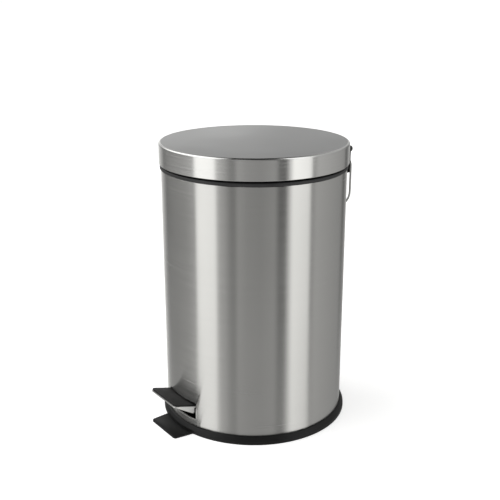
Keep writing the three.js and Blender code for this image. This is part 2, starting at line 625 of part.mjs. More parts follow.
/** The steel pressing on the lid's rear: a leaf, a knuckle round the pin, and the slotted crank. */
function makeHingeArm() {
  const leafInside = lidRadius / FACET + GAP;
  const leafOutside = lidRadius + LEAF_PROUD;
  const x = [-LEAF_HALF_WIDTH, LEAF_HALF_WIDTH];
  const leaf = box(x, [leafInside - 6, leafOutside], [hingeZ - LEAF_BELOW, hingeZ + LEAF_ABOVE]);
  const web = box(x, [leafOutside - 2, hingeY], [hingeZ, hingeZ + KNUCKLE_RADIUS]);
  const knuckle = rodAlongX(KNUCKLE_RADIUS, x, hingeY, hingeZ);
  const lidSpace = disc(leafInside, hingeZ - 10, hingeZ + HINGE_BELOW_LID_TOP);
  const blank = cut(joined(leaf, web, knuckle), lidSpace, ...makeLeafScrewHoles());
  const crank = prismAlongX(
    slotShape([hingeY, hingeZ], [rodY, rodTopZ], crankHalfWidth),
    [CRANK_X - CRANK_THICKNESS / 2, CRANK_X + CRANK_THICKNESS / 2]);
  const pinHole = rodAlongX(HINGE_PIN_RADIUS + RUNNING, [x[0] - 1, x[1] + 1], hingeY, hingeZ);
  return cut(joined(blank, crank), pinHole, makeCrankSlot());
}

/** The cutter for the crank's slot. The rod's hook is nearest the axis when the crank is level. */
function makeCrankSlot() {
  const nearest = crankReach / crankEnd;
  const from = [hingeY + (rodY - hingeY) * nearest, hingeZ + (rodTopZ - hingeZ) * nearest];
  return prismAlongX(slotShape(from, [rodY, rodTopZ], slotHalfWidth), [CRANK_X - 5, CRANK_X + 5]);
}

function makeLeafFasteners() {
  const seatY = lidRadius + LEAF_PROUD + GAP;
  const nutY = nutSeatY(linerRadius - LINER_WALL, LEAF_SCREW_X);
  const z = hingeZ + LEAF_SCREW_RISE;
  const shank = seatY - nutY + NUT_HEIGHT + 1;
  return [['left', -1], ['right', 1]].flatMap(([name, side]) => [
    piece(`leaf_screw_${name}`, makeScrew(shank), plainSteel, [side * LEAF_SCREW_X, seatY, z]),
    piece(`leaf_nut_${name}`, makeNut(), plainSteel, [side * LEAF_SCREW_X, nutY, z]),
  ]);
}

// ---------------------------------------------------------------- pedal lever and push rod

/** The lever, one steel pressing: foot plate, side flanges, and the arm that reaches to the rod. */
function makeLever() {
  const kneeY = (plateTop - LEVER_ARM_TOP - KNEE_RISE) / tanDeg(PEDAL_SLOPE) - pedalReach;
  const armY = axleY - LEVER_BEND;
  const plateSide = outlineShape([
    [-pedalReach, plateTop], [-pedalReach, plateTop - PEDAL_STEEL], [kneeY, plateHeightAt(kneeY) - PEDAL_STEEL],
    [armY, LEVER_ARM_TOP - PEDAL_STEEL], [leverEndY, LEVER_ARM_TOP - PEDAL_STEEL], [leverEndY, LEVER_ARM_TOP],
    [armY, LEVER_ARM_TOP], [kneeY, plateHeightAt(kneeY)],
  ]);
  const strip = prismAlongX(plateSide, [-PEDAL_WIDTH, PEDAL_WIDTH]).intersect(makeLeverPlan());
  const flanges = [-1, 1].flatMap((side) => [makeLeverFlange(side, kneeY), makeTreadEdge(side)]);
  const ribs = [-1, 1].map((side) => box(
    sidePair(side, LEVER_ARM_WIDTH / 2 - PEDAL_STEEL, LEVER_ARM_WIDTH / 2),
    [axleY + LEVER_WIDE_END, leverEndY], [LEVER_ARM_TOP - LEVER_ARM_DEPTH, LEVER_ARM_TOP - SEAM]));
  const axleHole = rodAlongX(AXLE_RADIUS + RUNNING, [-PEDAL_WIDTH, PEDAL_WIDTH], axleY, AXLE_HEIGHT);
  return cut(joined(strip, ...flanges, ...ribs), axleHole);
}

/** The lever seen from above: the wide foot plate, narrowing behind the axle to the arm. */
function makeLeverPlan() {
  const shape = tongueShape(PEDAL_WIDTH / 2, PEDAL_WIDTH / 2, axleY + LEVER_WIDE_END, -pedalReach, PEDAL_CORNER);
  shape.lineTo(LEVER_ARM_WIDTH / 2, axleY + LEVER_NARROW_START);
  shape.lineTo(LEVER_ARM_WIDTH / 2, leverEndY);
  shape.lineTo(-LEVER_ARM_WIDTH / 2, leverEndY);
  shape.lineTo(-LEVER_ARM_WIDTH / 2, axleY + LEVER_NARROW_START);
  return prismAlongZ(shape, [0, PEDAL_TOP + 5]);
}

/** A side flange of the lever. It starts inside the shell, so the window stays shallow. */
function makeLeverFlange(side, kneeY) {
  const startY = -padInnerReach;
  const eye = AXLE_HEIGHT - AXLE_RADIUS - LEVER_EYE_WALL;
  const shape = outlineShape([
    [startY, plateHeightAt(startY) - SEAM], [startY, plateHeightAt(startY) - LEVER_FLANGE],
    [kneeY, plateHeightAt(kneeY) - PEDAL_STEEL - LEVER_FLANGE], [axleY - LUG_HALF_LENGTH, eye], [axleY + 5, eye],
    [axleY + LEVER_WIDE_END, eye + 4], [axleY + LEVER_WIDE_END, LEVER_ARM_TOP - SEAM],
    [axleY - LEVER_BEND, LEVER_ARM_TOP - SEAM], [kneeY, plateHeightAt(kneeY) - SEAM],
  ]);
  return prismAlongX(shape, sidePair(side, flangeX, PEDAL_WIDTH / 2));
}

/** A folded side edge of the tread, outside the shell. It gets deeper towards the shell. */
function makeTreadEdge(side) {
  const outerY = -pedalReach + PEDAL_CORNER;
  const innerY = -Math.sqrt(SHELL_RADIUS ** 2 - flangeX ** 2) - LOOSE - SEAM;
  const shape = outlineShape([
    [outerY, plateHeightAt(outerY) - SEAM], [outerY, plateHeightAt(outerY) - PEDAL_STEEL - SEAM],
    [innerY, plateHeightAt(innerY) - PEDAL_STEEL - TREAD_EDGE_DEPTH], [innerY, plateHeightAt(innerY) - SEAM],
  ]);
  return prismAlongX(shape, sidePair(side, flangeX, PEDAL_WIDTH / 2));
}

/** The rubber pad on the foot plate. */
function makePedalPad() {
  const seat = (y) => plateHeightAt(y) + GAP;
  const innerY = -padInnerReach;
  const outerY = -pedalReach;
  const side = outlineShape([
    [outerY, seat(outerY)], [innerY, seat(innerY)],
    [innerY, seat(innerY) + PAD_THICKNESS], [outerY, seat(outerY) + PAD_THICKNESS],
  ]);
  const plan = tongueShape(PEDAL_WIDTH / 2, PEDAL_WIDTH / 2, innerY + 1, outerY, PEDAL_CORNER);
  return prismAlongX(side, [-PEDAL_WIDTH, PEDAL_WIDTH]).intersect(prismAlongZ(plan, [0, PEDAL_TOP + 5]));
}

/** The wire push rod: a hooked foot that lies on the lever, and a hook through the crank's slot. */
function makePushRod() {
  const line = new WireLine(
    [at(ROD_HOOK_REACH - 4, rodY, rodFootZ), at(0, rodY, rodFootZ), at(0, rodY, rodTopZ),
      at(ROD_HOOK_REACH + 1, rodY, rodTopZ)],
    [ROD_BEND, ROD_BEND], [6, 6]);
  return wire(line, ROD_RADIUS, 12);
}

const guideHeights = [GUIDE_HEIGHT, bracketFoot - 9];

/** A snap-in guide: a block that the rod slides through, and a peg that clips through the shell. */
function makeRodGuide() {
  const block = box([-GUIDE_HALF_WIDTH, GUIDE_HALF_WIDTH], [rodY - ROD_RADIUS - GUIDE_WALL, shellInside - LOOSE],
    [-GUIDE_HALF_HEIGHT, GUIDE_HALF_HEIGHT]);
  const headFace = SHELL_RADIUS + GAP + GUIDE_HEAD;
  const peg = rodAlongY(GUIDE_PEG_RADIUS, 0, [shellInside - LOOSE - SEAM, headFace], 0);
  const head = rodAlongY(GUIDE_PEG_RADIUS + GUIDE_HEAD, 0, [SHELL_RADIUS + GAP, headFace], 0);
  return cut(joined(block, peg, head), rodAlongZ(ROD_RADIUS + RUNNING, 0, rodY, [-GUIDE_HALF_HEIGHT - 1, GUIDE_HALF_HEIGHT + 1]));
}

// ---------------------------------------------------------------- carry handle, bucket and bail

/** The wire loop on the hinge bracket. Its ends turn inwards into the bracket's lugs. */
function makeCarryHandle() {
  const end = BRACKET_HALF_WIDTH - HANDLE_END_INSET;
  const top = handlePivotZ;
  const bottom = handlePivotZ - HANDLE_DROP;
  const line = new WireLine(
    [at(end, handleY, top), at(handleX, handleY, top), at(handleX, handleY, bottom),
      at(-handleX, handleY, bottom), at(-handleX, handleY, top), at(-end, handleY, top)],
    [HANDLE_TOP_BEND, HANDLE_CORNER, HANDLE_CORNER, HANDLE_TOP_BEND], [4, 10, 10, 4]);
  return wire(line, HANDLE_RADIUS, 10);
}

function makeBucket() {
  const floorTop = BUCKET_FOOT + BUCKET_WALL + 0.5;
  const lip = bucketRadius - BUCKET_WALL;
  const tub = turned([
    [0, BUCKET_FOOT], [bucketFootRadius - 3, BUCKET_FOOT], [bucketFootRadius, BUCKET_FOOT + 3],
    [bucketRadius, rimFoot], [bucketRimRadius, rimFoot], [bucketRimRadius, rimTop], [lip, rimTop],
    [bucketFootRadius - BUCKET_WALL, floorTop], [0, floorTop],
  ]);
  const ears = [-1, 1].map((side) => box(
    sidePair(side, earX, earX + BAIL_EAR_WALL), [-BAIL_EAR_HALF_WIDTH, BAIL_EAR_HALF_WIDTH],
    [rimTop - 1, bailZ + BAIL_RADIUS + BAIL_EAR_WALL]));
  const earHoles = [-1, 1].map((side) => rodAlongX(
    BAIL_RADIUS + RUNNING, sidePair(side, earX - 5, earX + 10), 0, bailZ));
  const rimNotch = makeLinkagePassage(bucketRadius + 0.4, rimFoot - 1);
  return cut(joined(tub, ...ears), rimNotch, ...earHoles);
}

/** The wire bail of the bucket, lying forward on the rim. Its ends turn in through the ears. */
function makeBucketBail() {
  const arcSteps = 12;
  const reachY = -bailX - BAIL_BEND;
  const line = new WireLine(
    [at(earX - 1.5, 0, 0), at(bailX, 0, 0), at(bailX, reachY, 0), at(-bailX, reachY, 0),
      at(-bailX, 0, 0), at(-earX + 1.5, 0, 0)],
    [BAIL_BEND, bailX - 0.01, bailX - 0.01, BAIL_BEND], [4, arcSteps, arcSteps, 4]);
  return wire(line, BAIL_RADIUS, 8);
}

// ---------------------------------------------------------------- the assembled bin

const clipCentre = (face) => face + GAP + CLIP_THICKNESS / 2;

const fixedPieces = assembly(
  piece('base', makeBase(), blackPlastic),
  piece('body_shell', makeShell(), brushedSteel),
  piece('collar', makeCollar(), greyPlastic),
  piece('hinge_bracket', makeHingeBracket(), blackPlastic),
  ...makeBracketFasteners(),
  piece('hinge_pin', makeHingePin(), coatedSteel, [0, hingeY, hingeZ]),
  piece('hinge_pin_clip', makeClip(HINGE_PIN_RADIUS), coatedSteel, [clipCentre(BRACKET_HALF_WIDTH), hingeY, hingeZ]),
  piece('lever_axle', rod('x', AXLE_RADIUS, 2 * (clipCentre(lugX + LUG_WALL) + 1.5)), plainSteel,
    [0, axleY, AXLE_HEIGHT]),
  ...[['left', -1], ['right', 1]].map(([name, side]) => piece(
    `axle_clip_${name}`, makeClip(AXLE_RADIUS), plainSteel,
    [side * clipCentre(lugX + LUG_WALL), axleY, AXLE_HEIGHT])),
  ...guideHeights.map((height, i) => piece(
    `rod_guide_${['lower', 'upper'][i]}`, makeRodGuide(), blackPlastic, [0, 0, height])),
  piece('lever_stop_pad', rodAlongZ(
    STOP_RADIUS, 0, stopY, [stopPostTop + GAP, LEVER_ARM_TOP - PEDAL_STEEL - GAP]), rubber),
);

const lid = assembly(
  piece('lid_shell', makeLidShell(), brushedSteel),
  piece('lid_liner', makeLidLiner(), blackPlastic),
  piece('lid_hinge_arm', makeHingeArm(), coatedSteel),
  ...makeLeafFasteners(),
  ...makeBuffers(),
);

const pedal = assembly(
  piece('pedal_lever', makeLever(), brushedSteel),
  piece('pedal_pad', makePedalPad(), rubber),
);

const linkage = assembly(
  piece('push_rod', makePushRod(), plainSteel),
  piece('rod_clip', makeClip(ROD_RADIUS), plainSteel,
    [clipCentre(CRANK_X + CRANK_THICKNESS / 2), rodY, rodTopZ]),
);

const handle = assembly(piece('carry_handle', makeCarryHandle(), plainSteel));

const bucket = assembly(
  piece('bucket', makeBucket(), blackPlastic),
  piece('bucket_bail', makeBucketBail(), plainSteel, [0, 0, bailZ]),
);

const bin = assembly(fixedPieces, lid, pedal, linkage, handle, bucket);

export default bin;
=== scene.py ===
"""A round pedal bin of brushed steel, dressed round its fixed frame.

Meshes are drawn in millimetres, in the frame's own axes (+Z up, the pedal at -Y), and are turned
into metres when they are handed over.
"""
import json
import logging
import math
from collections.abc import Iterable, Sequence
from dataclasses import dataclass, field
from enum import Enum

import bmesh
import bpy
from mathutils import Matrix, Vector


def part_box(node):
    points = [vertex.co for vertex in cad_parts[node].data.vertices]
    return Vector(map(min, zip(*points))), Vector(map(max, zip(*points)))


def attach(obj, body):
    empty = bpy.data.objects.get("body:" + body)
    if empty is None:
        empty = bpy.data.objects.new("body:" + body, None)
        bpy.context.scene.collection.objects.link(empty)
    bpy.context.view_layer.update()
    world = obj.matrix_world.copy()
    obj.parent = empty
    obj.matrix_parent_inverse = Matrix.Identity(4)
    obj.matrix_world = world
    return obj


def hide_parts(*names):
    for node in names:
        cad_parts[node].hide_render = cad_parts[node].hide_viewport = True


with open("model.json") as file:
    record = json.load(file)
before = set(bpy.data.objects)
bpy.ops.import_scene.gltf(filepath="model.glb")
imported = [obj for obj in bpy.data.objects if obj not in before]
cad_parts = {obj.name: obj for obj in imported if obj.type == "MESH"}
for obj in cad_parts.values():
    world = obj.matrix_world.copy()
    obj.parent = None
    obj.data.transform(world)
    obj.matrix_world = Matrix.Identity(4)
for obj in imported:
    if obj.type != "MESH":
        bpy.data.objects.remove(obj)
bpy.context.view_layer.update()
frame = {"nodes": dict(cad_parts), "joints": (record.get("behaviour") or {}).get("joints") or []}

MM = 0.001  # metres in a millimetre
SPIN_STEPS = 192  # faces round the large round pieces
FACET_ANGLE = math.radians(34)  # edges that turn by more than this are sharp
GAP = 0.3  # air between pieces that touch on a real bin
PAST = 5.0  # how far a cutter reaches past what it cuts
SCREW_BORE = 1.85  # radius of a screw's hole
PIN_BORE = 1.9  # radius of the hinge pin's hole
CRANK_WAY = (-3.5, 13.5)  # the crank's passage through shell, collar and bucket, along X
SIDES = (-1, 1)  # left and right

BUFFERS = ("lid_buffer_front", "lid_buffer_right", "lid_buffer_left")
BRACKET_SCREWS = ("bracket_screw_left", "bracket_screw_right")
LEAF_SCREWS = ("leaf_screw_left", "leaf_screw_right")
ROD_GUIDES = ("rod_guide_lower", "rod_guide_upper")
HIDDEN_STEEL = (
    "bracket_nut_left", "bracket_nut_right", "leaf_nut_left", "leaf_nut_right", "lever_axle",
    "axle_clip_left", "axle_clip_right",
)

log = logging.getLogger("pedal_bin")

Corner = tuple[float, float, float]
Outline = Sequence[Vector]
Solid = bmesh.types.BMesh
Socket = bpy.types.NodeSocket


class Axis(Enum):
    """A direction that a prism or a pin lies along."""

    X = 0
    Y = 1
    Z = 2


class Join(Enum):
    """How one solid changes another."""

    FUSE = "UNION"
    CUT = "DIFFERENCE"
    SHARE = "INTERSECT"


# ------------------------------------------------------------------ reading the frame


def low(node: str) -> Vector:
    """Returns a node's lowest corner, in millimetres."""
    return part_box(node)[0] / MM


def high(node: str) -> Vector:
    """Returns a node's highest corner, in millimetres."""
    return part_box(node)[1] / MM


def middle(node: str) -> Vector:
    """Returns the middle of a node's box, in millimetres."""
    return (low(node) + high(node)) / 2


def pivot(joint: str) -> Vector:
    """Returns the place of a hinge joint, in millimetres."""
    place = next(j["pos_m"] for j in frame["joints"] if j["name"] == joint)
    return Vector(place) / MM


# ------------------------------------------------------------------ mesh tools


def soften(corners: Sequence[Corner], steps: int = 5) -> list[Vector]:
    """Rounds the corners of a closed outline that runs anticlockwise.

    Args:
        corners: Each corner's two coordinates and its radius, which may be 0.
        steps: Pieces in each round corner.

    Returns:
        The outline's points.
    """
    outline: list[Vector] = []
    for index, (across, up, radius) in enumerate(corners):
        corner = Vector((across, up))
        if radius == 0:
            outline.append(corner)
            continue
        back = (Vector(corners[index - 1][:2]) - corner).normalized()
        ahead = (Vector(corners[(index + 1) % len(corners)][:2]) - corner).normalized()
        half = back.angle(ahead) / 2
        centre = corner + (back + ahead).normalized() * (radius / math.sin(half))
        arm = corner + back * (radius / math.tan(half)) - centre
        turn = math.pi - 2 * half
        if back.x * ahead.y - back.y * ahead.x > 0:
            turn = -turn
        outline += [centre + Matrix.Rotation(turn * step / steps, 2) @ arm for step in range(steps + 1)]
    return outline


def settle(solid: Solid) -> Solid:
    """Puts a mesh's points, edges and faces in the order of their places, which is the same on every run.

    Args:
        solid: The mesh, which is changed.

    Returns:
        The same mesh.
    """
    places = (
        (solid.verts, lambda vert: vert.co),
        (solid.edges, lambda edge: edge.verts[0].co + edge.verts[1].co),
        (solid.faces, lambda face: face.calc_center_median()),
    )
    for items, place in places:
        ordered = sorted(items, key=lambda item: tuple(round(part, 3) for part in place(item)))
        rank = {item: number for number, item in enumerate(ordered)}
        items.sort(key=rank.get)
    return solid


def revolve(outline: Outline, closed: bool = True, steps: int = SPIN_STEPS) -> Solid:
    """Spins an outline of [radius, height] points about the Z axis.

    Args:
        outline: The outline, closed on itself, or open with both ends on the axis.
        closed: Whether the last point joins the first.
        steps: Faces round the whole turn.

    Returns:
        A closed mesh.
    """
    solid = bmesh.new()
    points = [solid.verts.new((point[0], 0.0, point[1])) for point in outline]
    edges = [solid.edges.new(pair) for pair in zip(points, points[1:])]
    if closed:
        edges.append(solid.edges.new((points[-1], points[0])))
    bmesh.ops.spin(
        solid, geom=points + edges, cent=(0, 0, 0), axis=(0, 0, 1), dvec=(0, 0, 0),
        angle=2 * math.pi, steps=steps, use_merge=True, use_duplicate=False,
    )
    bmesh.ops.remove_doubles(solid, verts=solid.verts, dist=1e-4)
    bmesh.ops.recalc_face_normals(solid, faces=solid.faces)
    return settle(solid)


def drum(radius: float, foot: float, top: float) -> Solid:
    """Draws a plain drum round the Z axis.

    Args:
        radius: Its radius.
        foot: Height of its lower face.
        top: Height of its upper face.

    Returns:
        A closed mesh.
    """
    corners = ((0, foot), (radius, foot), (radius, top), (0, top))
    return revolve([Vector(corner) for corner in corners], closed=False)


def prism(outline: Outline, axis: Axis, start: float, end: float) -> Solid:
    """Draws an outline along one axis.

    Args:
        outline: Points in the two other axes, in X, Y, Z order.
        axis: The direction that the prism lies along.
        start: Where it starts on that axis.
        end: Where it ends on that axis.

    Returns:
        A closed mesh.
    """
    solid = bmesh.new()
    points = []
    for point in outline:
        place = list(point)
        place.insert(axis.value, start)
        points.append(solid.verts.new(place))
    face = solid.faces.new(points)
    grown = bmesh.ops.extrude_face_region(solid, geom=[face])["geom"]
    shift = Vector((0, 0, 0))
    shift[axis.value] = end - start
    bmesh.ops.translate(solid, vec=shift, verts=[v for v in grown if isinstance(v, bmesh.types.BMVert)])
    bmesh.ops.recalc_face_normals(solid, faces=solid.faces)
    return settle(solid)


def block(x: Sequence[float], y: Sequence[float], z: Sequence[float]) -> Solid:
    """Draws a box.

    Args:
        x: Its limits along X.
        y: Its limits along Y.
        z: Its limits along Z.

    Returns:
        A closed mesh.
    """
    solid = bmesh.new()
    centre = ((x[0] + x[1]) / 2, (y[0] + y[1]) / 2, (z[0] + z[1]) / 2)
    bmesh.ops.create_cube(solid, size=1)
    bmesh.ops.scale(solid, vec=(x[1] - x[0], y[1] - y[0], z[1] - z[0]), verts=solid.verts)
    bmesh.ops.translate(solid, vec=centre, verts=solid.verts)
    return solid


def pin(axis: Axis, radius: float, start: Vector, length: float, segments: int = 48) -> Solid:
    """Draws a cylinder along an axis.

    Args:
        axis: The axis.
        radius: Its radius.
        start: Centre of its first end.
        length: How far it runs from there. It may be negative.
        segments: Faces round it.

    Returns:
        A closed mesh.
    """
    solid = bmesh.new()
    bmesh.ops.create_cone(
        solid, cap_ends=True, segments=segments, radius1=radius, radius2=radius, depth=abs(length),
    )
    turns = {Axis.X: Matrix.Rotation(math.pi / 2, 3, "Y"), Axis.Y: Matrix.Rotation(math.pi / 2, 3, "X")}
    if axis in turns:
        bmesh.ops.rotate(solid, cent=(0, 0, 0), matrix=turns[axis], verts=solid.verts)
    centre = Vector(start)
    centre[axis.value] += length / 2
    bmesh.ops.translate(solid, vec=centre, verts=solid.verts)
    return solid


def temporary(solid: Solid) -> bpy.types.Object:
    """Puts a mesh into the scene for a moment.

    Args:
        solid: The mesh. It is used up.

    Returns:
        The object that holds it.
    """
    mesh = bpy.data.meshes.new("temporary")
    solid.to_mesh(mesh)
    solid.free()
    thing = bpy.data.objects.new("temporary", mesh)
    bpy.context.scene.collection.objects.link(thing)
    return thing


def combine(solid: Solid, how: Join, *tools: Solid) -> Solid:
    """Joins solids to a first one, or cuts them from it.

    Args:
        solid: The mesh that is changed.
        how: Whether the tools are fused, cut away or kept as the common part.
        tools: The other meshes. They are used up.

    Returns:
        The new closed mesh.
    """
    for tool in tools:
        body = temporary(solid)
        cutter = temporary(tool)
        change = body.modifiers.new("combine", "BOOLEAN")
        change.object = cutter
        change.operation = how.value
        change.solver = "EXACT"
        graph = bpy.context.evaluated_depsgraph_get()
        solid = bmesh.new()
        solid.from_mesh(body.evaluated_get(graph).to_mesh())
        for thing in (body, cutter):
            mesh = thing.data
            bpy.data.objects.remove(thing)
            bpy.data.meshes.remove(mesh)
    return solid


def sharp_edges(solid: Solid) -> list[bmesh.types.BMEdge]:
    """Finds the edges that are sharper than the facet angle.

    Args:
        solid: The mesh.

    Returns:
        Its sharp edges.
    """
    return [
        edge for edge in solid.edges
        if len(edge.link_faces) == 2 and edge.calc_face_angle(0) > FACET_ANGLE
    ]


def ease(solid: Solid, width: float, segments: int = 2) -> Solid:
    """Rounds a mesh's sharp edges.

    Args:
        solid: The mesh, which is changed.
        width: Width of the rounding.
        segments: Faces across the rounding.

    Returns:
        The same mesh.
    """
    bmesh.ops.bevel(
        solid, geom=sharp_edges(solid), offset=width, offset_type="OFFSET", affect="EDGES",
        segments=segments, profile=0.5, material=-1, clamp_overlap=True,
    )
    return solid


def gather(*solids: Solid) -> Solid:
    """Puts separate meshes, which don't touch, into one.

    Args:
        solids: The meshes. All but the first are used up.

    Returns:
        The first mesh, with the others in it.
    """
    first, *others = solids
    for other in others:
        mesh = bpy.data.meshes.new("gather")
        other.to_mesh(mesh)
        other.free()
        first.from_mesh(mesh)
        bpy.data.meshes.remove(mesh)
    return first


class BentWire:
    """A round wire, drawn run by run and bend by bend from one end."""

    def __init__(self, start: Vector, heading: Vector, radius: float, sides: int = 20) -> None:
        """Starts the wire with a flat end.

        Args:
            start: Centre of the first end.
            heading: The way the wire leaves it.
            radius: The wire's radius.
            sides: Sides of its section.
        """
        self.solid = bmesh.new()
        self.place = Vector(start)
        self.heading = Vector(heading).normalized()
        turn = Vector((0, 0, 1)).rotation_difference(self.heading).to_matrix().to_4x4()
        bmesh.ops.create_circle(
            self.solid, cap_ends=True, segments=sides, radius=radius,
            matrix=Matrix.Translation(self.place) @ turn,
        )
        self.ring: list[bmesh.types.BMEdge] = list(self.solid.edges)

    def run(self, length: float) -> "BentWire":
        """Draws a straight run.

        Args:
            length: Its length.

        Returns:
            The wire.
        """
        grown = bmesh.ops.extrude_edge_only(self.solid, edges=self.ring)["geom"]
        points = [item for item in grown if isinstance(item, bmesh.types.BMVert)]
        bmesh.ops.translate(self.solid, vec=self.heading * length, verts=points)
        self.place += self.heading * length
        self._keep_ring(grown, points)
        return self

    def bend(self, towards: Vector, radius: float, angle: float, steps: int = 12) -> "BentWire":
        """Bends the wire.

        Args:
            towards: The side that the wire turns to, square to its heading.
            radius: Radius of the bend's centre line.
            angle: How far it turns, in degrees.
            steps: Pieces in the bend.

        Returns:
            The wire.
        """
        side = Vector(towards).normalized()
        axis = self.heading.cross(side)
        centre = self.place + side * radius
        turn = Matrix.Rotation(math.radians(angle), 3, axis)
        points = list(dict.fromkeys(vert for edge in self.ring for vert in edge.verts))
        spun = bmesh.ops.spin(
            self.solid, geom=points + self.ring, cent=centre, axis=axis, dvec=(0, 0, 0),
            angle=math.radians(angle), steps=steps, use_merge=False, use_duplicate=False,
        )["geom_last"]
        self.place = centre + turn @ (self.place - centre)
        self.heading = turn @ self.heading
        self._keep_ring(spun, [item for item in spun if isinstance(item, bmesh.types.BMVert)])
        return self

    def _keep_ring(self, grown: Iterable[object], points: Sequence[bmesh.types.BMVert]) -> None:
        """Remembers the open end's edges.

        Args:
            grown: Everything that was just drawn.
            points: The open end's points.
        """
        corners = set(points)
        self.ring = [
            item for item in grown if isinstance(item, bmesh.types.BMEdge) and set(item.verts) <= corners
        ]

    def close(self, ease_by: float = 0.3) -> Solid:
        """Closes the far end and eases both ends' rims.

        Args:
            ease_by: Width of the rims' rounding.

        Returns:
            The closed mesh.
        """
        bmesh.ops.edgeloop_fill(self.solid, edges=self.ring)
        bmesh.ops.remove_doubles(self.solid, verts=self.solid.verts, dist=1e-4)
        bmesh.ops.recalc_face_normals(self.solid, faces=self.solid.faces)
        return ease(settle(self.solid), ease_by)


def true_up(mesh: bpy.types.Mesh) -> None:
    """Points the corner normals of a round wall straight away from the Z axis, so that it shades evenly.

    Args:
        mesh: The mesh, whose cut openings would otherwise bend the shading beside them.
    """
    normals = [corner.vector.copy() for corner in mesh.corner_normals]
    for face in mesh.polygons:
        outwards = Vector((face.center.x, face.center.y, 0)).normalized()
        facing = face.normal.dot(outwards)
        if abs(facing) > 0.999:
            for index in face.loop_indices:
                place = mesh.vertices[mesh.loops[index].vertex_index].co
                normals[index] = Vector((place.x, place.y, 0)).normalized() * math.copysign(1, facing)
    mesh.normals_split_custom_set(normals)


def hand_over(
    name: str, solid: Solid, body: str,
    dress: Sequence[bpy.types.Material], replaces: Sequence[str] = (), round_wall: bool = False,
) -> bpy.types.Object:
    """Turns a mesh into a finished piece that rides on its body.

    Args:
        name: The piece's name.
        solid: Its mesh, in millimetres. It is used up.
        body: The body that it moves with.
        dress: Its materials, in the order of the faces' material numbers.
        replaces: The frame's nodes that it stands for.
        round_wall: Whether it is a sheet wall round the Z axis.

    Returns:
        The piece.
    """
    bmesh.ops.scale(solid, vec=(MM, MM, MM), verts=solid.verts)
    mesh = bpy.data.meshes.new(name)
    solid.to_mesh(mesh)
    solid.free()
    mesh.shade_smooth()
    mesh.set_sharp_from_angle(angle=FACET_ANGLE)
    if round_wall:
        true_up(mesh)
    for material in dress:
        mesh.materials.append(material)
    piece = bpy.data.objects.new(name, mesh)
    bpy.context.scene.collection.objects.link(piece)
    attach(piece, body)
    if replaces:
        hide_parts(*replaces)
    log.info("%s rides on %s with %d faces", name, body, len(mesh.polygons))
    return piece


# ------------------------------------------------------------------ finishes


class Wiring:
    """Adds nodes to a tree and joins their sockets."""

    def __init__(self, tree: bpy.types.NodeTree) -> None:
        """Empties the tree that is to be wired."""
        self.tree = tree
        tree.nodes.clear()

    def add(
        self, kind: str, inputs: dict[str | int, object] | None = None, **settings: object,
    ) -> bpy.types.Node:
        """Adds one node.

        Args:
            kind: The node's type, without its ShaderNode prefix.
            inputs: A value, or the socket to join, for each named or numbered input.
            settings: The node's own properties.

        Returns:
            The node.
        """
        node = self.tree.nodes.new("ShaderNode" + kind)
        for key, value in settings.items():
            setattr(node, key, value)
        for key, value in (inputs or {}).items():
            if isinstance(value, Socket):
                self.tree.links.new(value, node.inputs[key])
            else:
                node.inputs[key].default_value = value
        return node

    def noise(self, at: Socket, scale: Vector, detail: float = 2.0) -> Socket:
        """Returns noise at a place, with its repeats a metre along each axis."""
        mapped = self.add("Mapping", {"Vector": at, "Scale": scale})
        return self.add("TexNoise", {"Vector": mapped.outputs[0], "Scale": 1.0, "Detail": detail}).outputs[0]

    def spread(self, share: Socket, least: float, most: float) -> Socket:
        """Returns a value that runs from `least` to `most` as the noise goes from its dark to its light."""
        ramp = {"Value": share, "From Min": 0.3, "From Max": 0.7, "To Min": least, "To Max": most}
        return self.add("MapRange", ramp).outputs[0]

    def blend(self, share: Socket, dark: Sequence[float], light: Sequence[float]) -> Socket:
        """Returns a colour between two, by a share."""
        mix = self.add("Mix", {0: share, 6: (*dark, 1.0), 7: (*light, 1.0)}, data_type="RGBA")
        return mix.outputs[2]


def shade(colour: Sequence[float], factor: float) -> tuple[float, ...]:
    """Returns a colour made lighter or darker."""
    return tuple(min(1.0, channel * factor) for channel in colour)


